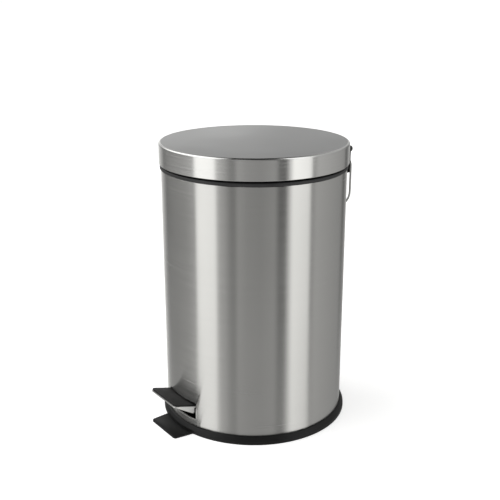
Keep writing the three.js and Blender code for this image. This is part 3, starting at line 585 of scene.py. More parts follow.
@dataclass(frozen=True)
class BrushedSteel:
    """Satin stainless sheet with a grain of fine parallel scratches.

    Attributes:
        name: The material's name.
        colour: Its base colour.
        roughness: Its mean roughness.
        stretch: How far the gloss is drawn out across the grain.
        grain: Scratches a metre along each axis: few along the grain, many across it.
        scratch: Depth of the scratches, in metres.
        contrast: How much the scratches lighten and darken the colour.
    """

    name: str
    colour: tuple[float, float, float] = (0.62, 0.615, 0.6)
    roughness: float = 0.22
    stretch: float = 1.0
    grain: tuple[float, float, float] = (7.0, 7.0, 1500.0)
    scratch: float = 0.000006
    contrast: float = 0.025

    def material(self) -> bpy.types.Material:
        """Wires the finish.

        Returns:
            The material.
        """
        made = bpy.data.materials.new(self.name)
        made.use_nodes = True
        wiring = Wiring(made.node_tree)
        at = wiring.add("TexCoord").outputs["Object"]
        fine = wiring.noise(at, Vector(self.grain), 3.0)
        coarse = wiring.noise(at, Vector(self.grain) * 0.24, 1.0)
        cloud = wiring.noise(at, Vector((9.0, 9.0, 9.0)), 2.0)
        grain = wiring.add("Math", {0: fine, 1: coarse}, operation="ADD")
        grain = wiring.add("Math", {0: grain.outputs[0], 1: 0.5}, operation="MULTIPLY").outputs[0]
        dark = shade(self.colour, 1 - self.contrast)
        light = shade(self.colour, 1 + self.contrast)
        colour = wiring.blend(wiring.spread(grain, 0, 1), dark, light)
        satin = wiring.spread(grain, self.roughness - 0.04, self.roughness + 0.04)
        haze = wiring.spread(cloud, -0.02, 0.03)
        rough = wiring.add("Math", {0: satin, 1: haze}, operation="ADD").outputs[0]
        bump = wiring.add("Bump", {"Strength": 0.35, "Distance": self.scratch, "Height": grain})
        inputs = {
            "Base Color": colour, "Metallic": 1.0, "Roughness": rough, "Normal": bump.outputs[0],
            "Anisotropic": self.stretch, "Anisotropic Rotation": 0.25,
        }
        if self.stretch > 0:
            inputs["Tangent"] = wiring.add("Tangent", direction_type="RADIAL", axis="Z").outputs[0]
        shader = wiring.add("BsdfPrincipled", inputs)
        wiring.add("OutputMaterial", {"Surface": shader.outputs[0]})
        return made


@dataclass(frozen=True)
class PlainMetal:
    """Plated or drawn steel with a soft, slightly uneven gloss.

    Attributes:
        name: The material's name.
        colour: Its base colour.
        roughness: Its mean roughness.
        grain: Repeats a metre of its fine marks.
    """

    name: str
    colour: tuple[float, float, float]
    roughness: float
    grain: float = 900.0

    def material(self) -> bpy.types.Material:
        """Wires the finish.

        Returns:
            The material.
        """
        made = bpy.data.materials.new(self.name)
        made.use_nodes = True
        wiring = Wiring(made.node_tree)
        at = wiring.add("TexCoord").outputs["Object"]
        fine = wiring.noise(at, Vector((1, 1, 1)) * self.grain, 3.0)
        cloud = wiring.noise(at, Vector((1, 1, 1)) * 60.0, 2.0)
        colour = wiring.blend(wiring.spread(cloud, 0, 1), shade(self.colour, 0.82), shade(self.colour, 1.1))
        rough = wiring.spread(fine, self.roughness - 0.07, self.roughness + 0.09)
        bump = wiring.add("Bump", {"Strength": 0.4, "Distance": 0.00003, "Height": fine})
        shader = wiring.add("BsdfPrincipled", {
            "Base Color": colour, "Metallic": 1.0, "Roughness": rough, "Normal": bump.outputs[0],
        })
        wiring.add("OutputMaterial", {"Surface": shader.outputs[0]})
        return made


@dataclass(frozen=True)
class Moulding:
    """Moulded plastic or rubber with a fine spark-eroded grain and faint handling marks.

    Attributes:
        name: The material's name.
        colour: Its base colour.
        roughness: Its mean roughness.
        grain: Repeats a metre of its surface grain.
        depth: Depth of the grain, in metres.
        gloss: Its specular level.
    """

    name: str
    colour: tuple[float, float, float]
    roughness: float
    grain: float = 1400.0
    depth: float = 0.00006
    gloss: float = 0.5

    def material(self) -> bpy.types.Material:
        """Wires the finish.

        Returns:
            The material.
        """
        made = bpy.data.materials.new(self.name)
        made.use_nodes = True
        wiring = Wiring(made.node_tree)
        at = wiring.add("TexCoord").outputs["Object"]
        pores = wiring.add("TexVoronoi", {"Vector": at, "Scale": self.grain}).outputs["Distance"]
        fine = wiring.noise(at, Vector((1, 1, 1)) * self.grain * 0.6, 3.0)
        cloud = wiring.noise(at, Vector((1, 1, 1)) * 25.0, 3.0)
        height = wiring.add("Math", {0: pores, 1: fine}, operation="ADD").outputs[0]
        colour = wiring.blend(wiring.spread(cloud, 0, 1), shade(self.colour, 0.8), shade(self.colour, 1.35))
        rough = wiring.spread(cloud, self.roughness - 0.05, self.roughness + 0.07)
        bump = wiring.add("Bump", {"Strength": 0.5, "Distance": self.depth, "Height": height})
        shader = wiring.add("BsdfPrincipled", {
            "Base Color": colour, "Roughness": rough, "Normal": bump.outputs[0],
            "Specular IOR Level": self.gloss,
        })
        wiring.add("OutputMaterial", {"Surface": shader.outputs[0]})
        return made


class Finishes:
    """Every finish of the bin, made once."""

    def __init__(self) -> None:
        """Makes the materials."""
        self.shell = BrushedSteel("brushed_shell_finish").material()
        self.lid_side = BrushedSteel(
            "brushed_lid_side_finish", colour=(0.74, 0.735, 0.72), grain=(7.0, 7.0, 1700.0),
        ).material()
        # The flat top is the same steel sheet as the lid's side and rim, but it has a darker base colour:
        # painted shade on the top. Its rounder, unstretched gloss and its grain belong to the steel itself.
        self.lid_top = BrushedSteel(
            "brushed_lid_top_painted_shade", colour=(0.52, 0.522, 0.525), roughness=0.38, stretch=0.0,
            grain=(1300.0, 9.0, 9.0), contrast=0.05,
        ).material()
        self.lid_rim = BrushedSteel(
            "lid_rim_finish", colour=(0.7, 0.7, 0.69), roughness=0.2, stretch=0.0, scratch=0.0,
        ).material()
        self.pedal = BrushedSteel(
            "pedal_steel_finish", colour=(0.82, 0.815, 0.8), roughness=0.42, stretch=0.0,
            grain=(12.0, 1300.0, 1300.0),
        ).material()
        self.plated = PlainMetal("zinc_plate_finish", (0.56, 0.56, 0.55), 0.36).material()
        self.wire = PlainMetal("drawn_wire_finish", (0.5, 0.5, 0.49), 0.3, grain=1500.0).material()
        self.black = Moulding("black_plastic_finish", (0.0045, 0.0045, 0.0046), 0.44, gloss=0.3).material()
        self.coated = Moulding(
            "black_coat_finish", (0.01, 0.01, 0.0105), 0.36, grain=2200.0, depth=0.00003,
        ).material()
        self.grey = Moulding("grey_plastic_finish", (0.022, 0.022, 0.0225), 0.48, gloss=0.4).material()
        self.bucket = Moulding("bucket_plastic_finish", (0.022, 0.022, 0.023), 0.4, grain=900.0).material()
        self.pad = Moulding(
            "pedal_rubber_finish", (0.012, 0.012, 0.012), 0.6, grain=700.0, depth=0.00012, gloss=0.35,
        ).material()
        self.rubber = Moulding("buffer_rubber_finish", (0.02, 0.02, 0.02), 0.7, grain=900.0).material()


# ------------------------------------------------------------------ shell, base and collar


@dataclass
class Shell:
    """The steel can, its pedal window and the window's folded hem."""

    wall: float = 0.8
    bead: float = 0.9
    bead_lip: float = 1.1
    bead_foot: float = 2.4
    window_half: float = 33.5
    window_corner: float = 3.0
    sill: float = 19.5
    lintel: float = 44.5
    hem: float = 1.0
    hem_proud: float = 0.45
    hem_top: float = 37.0
    peg_hole: float = 2.3
    radius: float = field(default_factory=lambda: high("body_shell").x)
    foot: float = field(default_factory=lambda: low("body_shell").z)
    top: float = field(default_factory=lambda: high("body_shell").z)

    def window(self, spare: float) -> list[Vector]:
        """Draws the window's outline in [x, z].

        Args:
            spare: How much larger than the window it is, on every side.

        Returns:
            The outline's points.
        """
        half = self.window_half + spare
        below = self.sill - spare
        above = self.lintel + spare
        corner = self.window_corner + spare
        return soften([
            (-half, below, corner), (half, below, corner), (half, above, corner), (-half, above, corner),
        ], 8)

    def sheet(self) -> Solid:
        """Draws the can: a tube whose top edge curls in to a bead, with its window and holes.

        Returns:
            A closed mesh.
        """
        outside = self.radius
        inside = outside - self.wall
        lip = inside - self.bead
        tube = revolve(soften([
            (inside, self.foot, 0.2), (outside, self.foot, 0.2), (outside, self.top, self.bead * 1.4),
            (lip, self.top, 0.3), (lip, self.top - self.bead_lip, 0.3),
            (inside, self.top - self.bead_foot, 0.6),
        ], 6))
        front = prism(self.window(0), Axis.Y, -outside - PAST, -outside / 2)
        start = outside - 20
        screw = middle(BRACKET_SCREWS[1])
        holes = [pin(Axis.Y, SCREW_BORE, Vector((side * screw.x, start, screw.z)), 30) for side in SIDES]
        pegs = [pin(Axis.Y, self.peg_hole, Vector((0, start, middle(node).z)), 30) for node in ROD_GUIDES]
        rear = (middle("rod_clip").y, outside + PAST)
        passage = block(CRANK_WAY, rear, (self.top - 0.01, self.top + PAST))
        return combine(tube, Join.CUT, front, passage, *holes, *pegs)

    def hem_ring(self) -> Solid:
        """Draws the hem, a thin rolled edge that follows the can's curve along the sill and the lower sides.

        Returns:
            A closed mesh.
        """
        start = -self.radius - PAST
        end = -self.radius / 2
        ring = combine(
            prism(self.window(self.hem), Axis.Y, start, end), Join.CUT,
            prism(self.window(-GAP), Axis.Y, start - 1, end + 1),
        )
        inside = self.radius - self.wall - 1.0
        outside = self.radius + self.hem_proud
        foot = self.sill - PAST
        band = revolve(soften([
            (inside, foot, 0), (outside, foot, 0), (outside, self.hem_top, 0), (inside, self.hem_top, 0),
        ]))
        return ease(combine(ring, Join.SHARE, band), 0.4, 3)

    def build(self, finishes: Finishes) -> None:
        """Makes the can and its hem.

        Args:
            finishes: The bin's finishes.
        """
        hand_over(
            "body_shell_sheet", self.sheet(), "body", [finishes.shell], ["body_shell"], True,
        )
        hand_over("pedal_window_hem", self.hem_ring(), "body", [finishes.pedal])


@dataclass
class Base:
    """The moulded base: a ring with a soft shoulder, the floor, the tongue and the axle's lugs."""

    ring_height: float = 11.0
    shoulder: float = 3.4
    groove: float = 0.35
    groove_floor: float = 4.0
    floor: float = 3.0
    upstand: float = 16.0
    upstand_inset: float = 1.4
    upstand_wall: float = 2.5
    lever_way: float = 38.0
    lever_way_end: float = -60.0
    rod_way: float = 9.0
    rod_way_start: float = 115.0
    tongue_tip: float = 30.5
    tongue_root: float = 34.0
    tongue_start: float = -119.0
    tongue_corner: float = 4.0
    lug_near: float = 33.5
    lug_wall: float = 4.5
    lug_half: float = 8.0
    lug_rise: float = 6.0
    lug_corner: float = 5.0
    axle_bore: float = 3.2
    stop_post: float = 4.0
    radius: float = field(default_factory=lambda: high("base").x)
    shell: float = field(default_factory=lambda: high("body_shell").x)
    front: float = field(default_factory=lambda: low("base").y)

    def tray(self) -> Solid:
        """Draws the ring and the floor, with the passages for the lever and the rod inside the can.

        Returns:
            A closed mesh.
        """
        seat = self.shell + self.groove
        outer = self.shell - self.upstand_inset
        inner = outer - self.upstand_wall
        dish = revolve(soften([
            (0, 0, 0), (self.radius, 0, 0.8), (self.radius - 0.2, 5.0, 3.5),
            (self.radius - self.shoulder, self.ring_height, 2.2), (seat, self.ring_height, 0.4),
            (seat, self.groove_floor, 0), (outer, self.groove_floor, 0), (outer, self.upstand, 0.6),
            (inner, self.upstand, 0.6), (inner, self.floor, 0), (0, self.floor, 0),
        ], 6), closed=False)
        rise = (self.floor, self.upstand + 1)
        ways = gather(
            block((-self.lever_way, self.lever_way), (-self.shell, self.lever_way_end), rise),
            block((-self.rod_way, self.rod_way), (self.rod_way_start, self.shell), rise),
        )
        return combine(dish, Join.CUT, combine(ways, Join.SHARE, drum(outer + 0.01, 1, 25)))

    def tongue(self) -> Solid:
        """Draws the flat plate on the floor under the pedal.

        Returns:
            A closed mesh.
        """
        plan = soften([
            (-self.tongue_root, self.tongue_start, 0), (-self.tongue_tip, self.front, self.tongue_corner),
            (self.tongue_tip, self.front, self.tongue_corner), (self.tongue_root, self.tongue_start, 0),
        ], 8)
        return ease(prism(plan, Axis.Z, 0, self.floor), 0.6, 3)

    def lug(self, side: int) -> Solid:
        """Draws one of the two lugs that hold the lever's axle.

        Args:
            side: -1 for the left one, 1 for the right one.

        Returns:
            A closed mesh.
        """
        axle = pivot("pedal_pivot")
        front = axle.y - self.lug_half
        back = axle.y + self.lug_half
        foot = self.floor - 1
        top = axle.z + self.lug_rise
        outline = soften([
            (front, foot, 0), (back, foot, 0), (back, top, self.lug_corner), (front, top, self.lug_corner),
        ])
        near = side * self.lug_near
        ear = prism(outline, Axis.X, near, near + side * self.lug_wall)
        return combine(ear, Join.CUT, pin(Axis.X, self.axle_bore, Vector((near - 9, axle.y, axle.z)), 18))

    def build(self, finishes: Finishes) -> None:
        """Makes the base in one piece.

        Args:
            finishes: The bin's finishes.
        """
        stop = middle("lever_stop_pad").y
        post = pin(Axis.Z, self.stop_post, Vector((0, stop, self.floor - 1)), 10)
        solid = combine(self.tray(), Join.FUSE, self.tongue(), self.lug(-1), self.lug(1), post)
        hand_over("base_moulding", solid, "body", [finishes.black], ["base"])


@dataclass
class Collar:
    """The grey ring between the can and the lid, which carries the bucket's rim."""

    skirt_inset: float = 3.1
    skirt_wall: float = 2.4
    bore: float = 107.3
    recess: float = 111.7
    ledge_drop: float = 2.0
    ledge_wall: float = 2.0
    slot_start: float = 109.5
    radius: float = field(default_factory=lambda: high("collar").x)
    foot: float = field(default_factory=lambda: low("collar").z)
    top: float = field(default_factory=lambda: high("collar").z)
    shell_top: float = field(default_factory=lambda: high("body_shell").z)

    def build(self, finishes: Finishes) -> None:
        """Makes the collar.

        Args:
            finishes: The bin's finishes.
        """
        skirt = self.radius - self.skirt_inset
        inside = skirt - self.skirt_wall
        outside = self.radius - 0.1
        seat = self.shell_top + GAP
        ledge = self.top - self.ledge_drop
        under = ledge - self.ledge_wall
        ring = revolve(soften([
            (self.bore, under, 0.5), (inside, under, 0), (inside, self.foot, 0.5), (skirt, self.foot, 0.6),
            (skirt, seat, 0), (outside, seat, 0.5), (outside, self.top, 1.6), (self.recess, self.top, 0.5),
            (self.recess, ledge, 0.3), (self.bore, ledge, 0.5),
        ]))
        slot = block(CRANK_WAY, (self.slot_start, self.radius + PAST), (self.foot + 2, self.top + PAST))
        solid = ease(combine(ring, Join.CUT, slot), 0.25)
        hand_over("collar_ring", solid, "body", [finishes.grey], ["collar"])


# ------------------------------------------------------------------ hinge, bracket and fasteners


@dataclass
class Fastener:
    """A pan-head screw along Y, with a cross recess."""

    head: float = 3.2
    height: float = 1.8
    shank: float = 1.5
    recess_half: float = 2.0
    recess_width: float = 0.4
    recess_depth: float = 1.0

    def screw(self, node: str) -> Solid:
        """Draws the screw that stands where a node is.

        Args:
            node: The frame's node.

        Returns:
            A closed mesh.
        """
        tip = low(node).y
        crown = high(node).y
        seat = crown - self.height
        x, _, z = middle(node)
        outline = soften([
            (0, tip, 0), (self.shank, tip, 0.4), (self.shank, seat, 0), (self.head, seat, 0.2),
            (self.head, crown, 1.2), (0, crown, 0),
        ], 6)
        solid = revolve(outline, closed=False, steps=40)
        tip_over = Matrix.Rotation(-math.pi / 2, 3, "X")
        bmesh.ops.rotate(solid, cent=(0, 0, 0), matrix=tip_over, verts=solid.verts)
        bmesh.ops.translate(solid, vec=(x, 0, z), verts=solid.verts)
        half, width = self.recess_half, self.recess_width
        depth = (crown - self.recess_depth, crown + 1)
        across = block((x - half, x + half), depth, (z - width, z + width))
        upright = block((x - width, x + width), depth, (z - half, z + half))
        return combine(solid, Join.CUT, combine(across, Join.FUSE, upright))

    def build(self, node: str, body: str, finishes: Finishes) -> None:
        """Makes one screw."""
        hand_over(f"{node}_pan_head", self.screw(node), body, [finishes.plated], [node])


def push_on_clip(node: str, bore: float) -> Solid:
    """Draws a thin ring along X that stands where a node is.

    Args:
        node: The frame's node.
        bore: The hole's radius.

    Returns:
        A closed mesh.
    """
    start = low(node)
    size = high(node) - start
    centre = middle(node)
    ring = pin(Axis.X, size.y / 2, Vector((start.x, *centre.yz)), size.x)
    hole = pin(Axis.X, bore, Vector((start.x - 1, *centre.yz)), size.x + 2)
    return ease(combine(ring, Join.CUT, hole), 0.2)


@dataclass
class HingeBracket:
    """The black bracket on the can's rear, with its knuckles, ribs and the handle's lugs."""

    wall: float = 3.0
    plate_inset: float = 2.8
    notch_drop: float = 4.0
    knuckle: float = 4.5
    leaf_half: float = 20.5
    foot_wall: float = 2.6
    rib_half: float = 0.9
    rib_rise: float = 11.0
    rib_places: tuple[float, ...] = (-38, -8, 8, 38)
    boss: float = 4.5
    handle_lug: float = 3.2
    handle_lug_width: float = 8.0
    handle_bore: float = 1.7
    pin_radius: float = 1.6
    pin_head: float = 2.8
    pin_head_height: float = 1.4
    half: float = field(default_factory=lambda: high("hinge_bracket").x)
    foot: float = field(default_factory=lambda: low("hinge_bracket").z)
    shell: float = field(default_factory=lambda: high("body_shell").x)
    axis: Vector = field(default_factory=lambda: pivot("lid_hinge"))
    swing: Vector = field(default_factory=lambda: pivot("carry_handle_swing"))

    def plate(self) -> Solid:
        """Draws the upright plate, notched for the lid's knuckle.

        Returns:
            A closed mesh.
        """
        inside = self.axis.y + self.knuckle - self.wall - self.plate_inset
        notch = self.axis.z - self.knuckle - self.notch_drop
        outline = soften([
            (-self.half, self.foot, 2.5), (self.half, self.foot, 2.5), (self.half, self.axis.z, 0),
            (self.leaf_half, self.axis.z, 0), (self.leaf_half, notch, 2), (-self.leaf_half, notch, 2),
            (-self.leaf_half, self.axis.z, 0), (-self.half, self.axis.z, 0),
        ])
        return prism(outline, Axis.Y, inside, inside + self.wall)

    def shelf(self) -> Solid:
        """Draws the foot that reaches in to the can, with stiffening ribs and the screws' bosses.

        Returns:
            A closed mesh.
        """
        outside = self.axis.y + self.knuckle - self.plate_inset
        thick = (self.foot, self.foot + self.foot_wall)
        slab = block((-self.half + 1, self.half - 1), (90, outside - 0.5), thick)
        rise = (self.foot + 1, self.foot + self.rib_rise)
        half = self.rib_half
        ribs = [block((x - half, x + half), (100, outside - 1), rise) for x in self.rib_places]
        bosses = [
            pin(Axis.Y, self.boss, Vector((middle(node).x, 100, middle(node).z)), outside - 101)
            for node in BRACKET_SCREWS
        ]
        can = drum(self.shell + 0.35, 300, 349.9)
        return combine(combine(slab, Join.FUSE, *ribs, *bosses), Join.CUT, can)

    def knuckles(self) -> list[Solid]:
        """Draws the two upper knuckles and the two small lugs of the carry handle.

        Returns:
            Four closed meshes.
        """
        reach = self.half - self.leaf_half
        width = self.handle_lug_width
        parts = []
        for side in SIDES:
            inner = Vector((side * self.leaf_half, *self.axis.yz))
            parts.append(pin(Axis.X, self.knuckle, inner, side * reach))
            start = Vector((side * (self.half - width), *self.swing.yz))
            parts.append(pin(Axis.X, self.handle_lug, start, side * width))
        return parts

    def bores(self) -> list[Solid]:
        """Draws the cutters for the pin, the handle's ends and the screws.

        Returns:
            Five closed meshes.
        """
        cutters = [pin(Axis.X, PIN_BORE, Vector((-60, *self.axis.yz)), 120, 32)]
        for side, node in zip(SIDES, BRACKET_SCREWS):
            start = Vector((side * (self.half - self.handle_lug_width - 1), *self.swing.yz))
            cutters.append(pin(Axis.X, self.handle_bore, start, side * 12, 32))
            cutters.append(pin(Axis.Y, SCREW_BORE, Vector((middle(node).x, 90, middle(node).z)), 60, 32))
        return cutters

    def build(self, finishes: Finishes) -> None:
        """Makes the bracket, its pin and the pin's clip.

        Args:
            finishes: The bin's finishes.
        """
        body = combine(self.plate(), Join.FUSE, self.shelf(), *self.knuckles())
        solid = ease(combine(body, Join.CUT, *self.bores()), 0.35)
        hand_over(
            "hinge_bracket_moulding", solid, "body", [finishes.black], ["hinge_bracket"],
        )
        self.build_pin(finishes)

    def build_pin(self, finishes: Finishes) -> None:
        """Makes the hinge pin and its push-on clip.

        Args:
            finishes: The bin's finishes.
        """
        start = Vector((low("hinge_pin").x, *self.axis.yz))
        shaft = pin(Axis.X, self.pin_radius, start, high("hinge_pin").x - start.x)
        head = pin(Axis.X, self.pin_head, start, self.pin_head_height)
        solid = ease(combine(shaft, Join.FUSE, head), 0.35)
        hand_over("hinge_pin_turned", solid, "body", [finishes.coated], ["hinge_pin"])
        clip = push_on_clip("hinge_pin_clip", 1.75)
        hand_over("hinge_pin_push_clip", clip, "body", [finishes.coated], ["hinge_pin_clip"])


@dataclass
class LidArm:
    """The coated arm on the lid's rear: its leaf, its knuckle and the slotted crank."""

    leaf_half: float = 19.5
    leaf_proud: float = 3.0
    leaf_below: float = 4.0
    leaf_above: float = 14.0
    web_wall: float = 2.3
    knuckle: float = 4.5
    crank_half: float = 4.9
    crank_start: float = 5.0
    crank_end: float = 7.0
    slot_half: float = 3.1
    axis: Vector = field(default_factory=lambda: pivot("lid_hinge"))
    lid: float = field(default_factory=lambda: high("lid_shell").x)

    def slot_outline(self, start: Vector, end: Vector, half: float) -> list[Vector]:
        """Draws a slot with round ends, in [y, z].

        Args:
            start: Centre of its first round end.
            end: Centre of its other round end.
            half: Half of its width.

        Returns:
            The outline's points.
        """
        along = (end - start).normalized() * half
        side = Vector((-along.y, along.x))
        corners = (start + side - along, start - side - along, end - side + along, end + side + along)
        return soften([(*corner, half * 0.999) for corner in corners], 10)

    def leaf(self) -> Solid:
        """Draws the leaf on the lid's side, its web and its tube round the pin.

        Returns:
            A closed mesh.
        """
        y, z = self.axis.yz
        half = self.leaf_half
        face = self.lid + self.leaf_proud
        below = z - self.leaf_below
        above = z + self.leaf_above
        outline = soften([(-half, below, 2), (half, below, 2), (half, above, 4), (-half, above, 4)])
        plate = prism(outline, Axis.Y, self.lid - 8, face)
        web = block((-half, half), (face - 2, y), (z + self.knuckle - self.web_wall, z + self.knuckle))
        tube = pin(Axis.X, self.knuckle, Vector((-half, y, z)), 2 * half)
        return combine(combine(plate, Join.FUSE, web, tube), Join.CUT, drum(self.lid + GAP, 300, 400))

    def build(self, finishes: Finishes) -> None:
        """Makes the arm.

        Args:
            finishes: The bin's finishes.
        """
        hub = self.axis.yz
        hook = middle("rod_clip").yz
        nearest = hub + (hook - hub) * ((hub.x - hook.x) / (hub - hook).length)
        crank = prism(self.slot_outline(hub, hook, self.crank_half), Axis.X, self.crank_start, self.crank_end)
        slot = self.slot_outline(nearest, hook, self.slot_half)
        cutters = [
            pin(Axis.X, PIN_BORE, Vector((-self.leaf_half - 1, *hub)), 2 * self.leaf_half + 2, 32),
            prism(slot, Axis.X, self.crank_start - 2, self.crank_end + 2),
        ]
        for node in LEAF_SCREWS:
            cutters.append(pin(Axis.Y, SCREW_BORE, Vector((middle(node).x, 110, middle(node).z)), 40, 32))
        solid = ease(combine(combine(self.leaf(), Join.FUSE, crank), Join.CUT, *cutters), 0.3)
        hand_over("lid_arm_coated", solid, "lid", [finishes.coated], ["lid_hinge_arm"])


# ------------------------------------------------------------------ lid


@dataclass
class Lid:
    """The steel lid with its hem, and the ribbed liner inside it."""

    wall: float = 0.8
    hem: float = 0.7
    edge_round: float = 2.9
    liner_wall: float = 2.0
    liner_disc: float = 1.5
    rib_places: tuple[float, ...] = (30, 60, 90)
    rib_half: float = 0.8
    rib_depth: float = 3.0
    spokes: int = 6
    spoke_start: float = 8.0
    spoke_depth: float = 2.4
    boss: float = 4.0
    buffer: float = 3.5
    radius: float = field(default_factory=lambda: high("lid_shell").x)
    foot: float = field(default_factory=lambda: low("lid_shell").z)
    top: float = field(default_factory=lambda: high("lid_shell").z)
    liner_foot: float = field(default_factory=lambda: low("lid_liner").z)
    liner_top: float = field(default_factory=lambda: high("lid_liner").z)
    liner_radius: float = field(default_factory=lambda: high("lid_liner").x)

    def notch(self) -> Solid:
        """Returns the cutter for the crank's notch in the rear."""
        return block((4, 8), (119, 134), (self.foot - 1, pivot("lid_hinge").z + 3))

    def screw_holes(self) -> list[Solid]:
        """Returns the cutters for the leaf's two screws."""
        places = [middle(node) for node in LEAF_SCREWS]
        return [pin(Axis.Y, SCREW_BORE, Vector((place.x, 110, place.z)), 30, 32) for place in places]

    def sheet(self) -> Solid:
        """Draws the steel cap: a flat top, a round edge and a hemmed skirt.

        Returns:
            A closed mesh.
        """
        inside = self.radius - self.wall
        lip = inside - self.hem
        under = self.top - self.wall
        return revolve(soften([
            (0, under, 0), (inside, under, self.edge_round - self.wall), (inside, self.foot + 3.2, 0.4),
            (lip, self.foot + 2.6, 0.3), (lip, self.foot, 0.5), (self.radius, self.foot, 0.6),
            (self.radius, self.top, self.edge_round), (0, self.top, 0),
        ], 8), closed=False)

    def lining(self) -> Solid:
        """Draws the inner moulding, with ring ribs and spokes on its underside.

        Returns:
            A closed mesh.
        """
        radius = self.liner_radius
        inside = radius - self.liner_wall
        disc = self.liner_top - self.liner_disc
        half = self.rib_half
        tip = disc - self.rib_depth
        corners: list[Corner] = [(0, disc, 0)]
        for rib in self.rib_places:
            near, far = rib - half, rib + half
            corners += [(near, disc, 0.4), (near, tip, 0.3), (far, tip, 0.3), (far, disc, 0.4)]
        corners += [
            (inside, disc, 2), (inside, self.liner_foot, 0.5), (radius, self.liner_foot, 0.5),
            (radius, self.liner_top, 2.6), (0, self.liner_top, 0),
        ]
        cup = revolve(soften(corners, 4), closed=False)
        spokes = []
        for turn in range(self.spokes):
            rise = (disc - self.spoke_depth, disc + 0.5)
            spoke = block((self.spoke_start, inside + 0.5), (-half, half), rise)
            angle = Matrix.Rotation(math.radians(360 / self.spokes * turn), 3, "Z")
            bmesh.ops.rotate(spoke, cent=(0, 0, 0), matrix=angle, verts=spoke.verts)
            spokes.append(spoke)
        reach = disc - self.liner_foot + 0.5
        bosses = [
            pin(Axis.Z, self.boss, Vector((*middle(node).xy, self.liner_foot)), reach) for node in BUFFERS
        ]
        return combine(cup, Join.FUSE, *spokes, *bosses)

    def build(self, finishes: Finishes) -> None:
        """Makes the steel cap, its liner and the buffers.

        Args:
            finishes: The bin's finishes.
        """
        cap = combine(self.sheet(), Join.CUT, self.notch(), *self.screw_holes())
        # The flat top's faces take the darker steel, whose base colour is painted shade. The round edge's
        # faces take the rim's steel.
        for face in cap.faces:
            if face.calc_center_median().z > self.top - self.edge_round:
                face.material_index = 1 if face.normal.z > 0.999 else 2
        hand_over(
            "lid_cap", cap, "lid", [finishes.lid_side, finishes.lid_top, finishes.lid_rim],
            ["lid_shell"], True,
        )
        liner = combine(self.lining(), Join.CUT, self.notch(), *self.screw_holes())
        hand_over("lid_inner_moulding", liner, "lid", [finishes.black], ["lid_liner"])
        for node in BUFFERS:
            start = Vector((*middle(node).xy, low(node).z))
            stud = ease(pin(Axis.Z, self.buffer, start, high(node).z - low(node).z), 0.8, 4)
            hand_over(f"{node}_stud", stud, "lid", [finishes.rubber], [node])


# ------------------------------------------------------------------ pedal, rod and guides


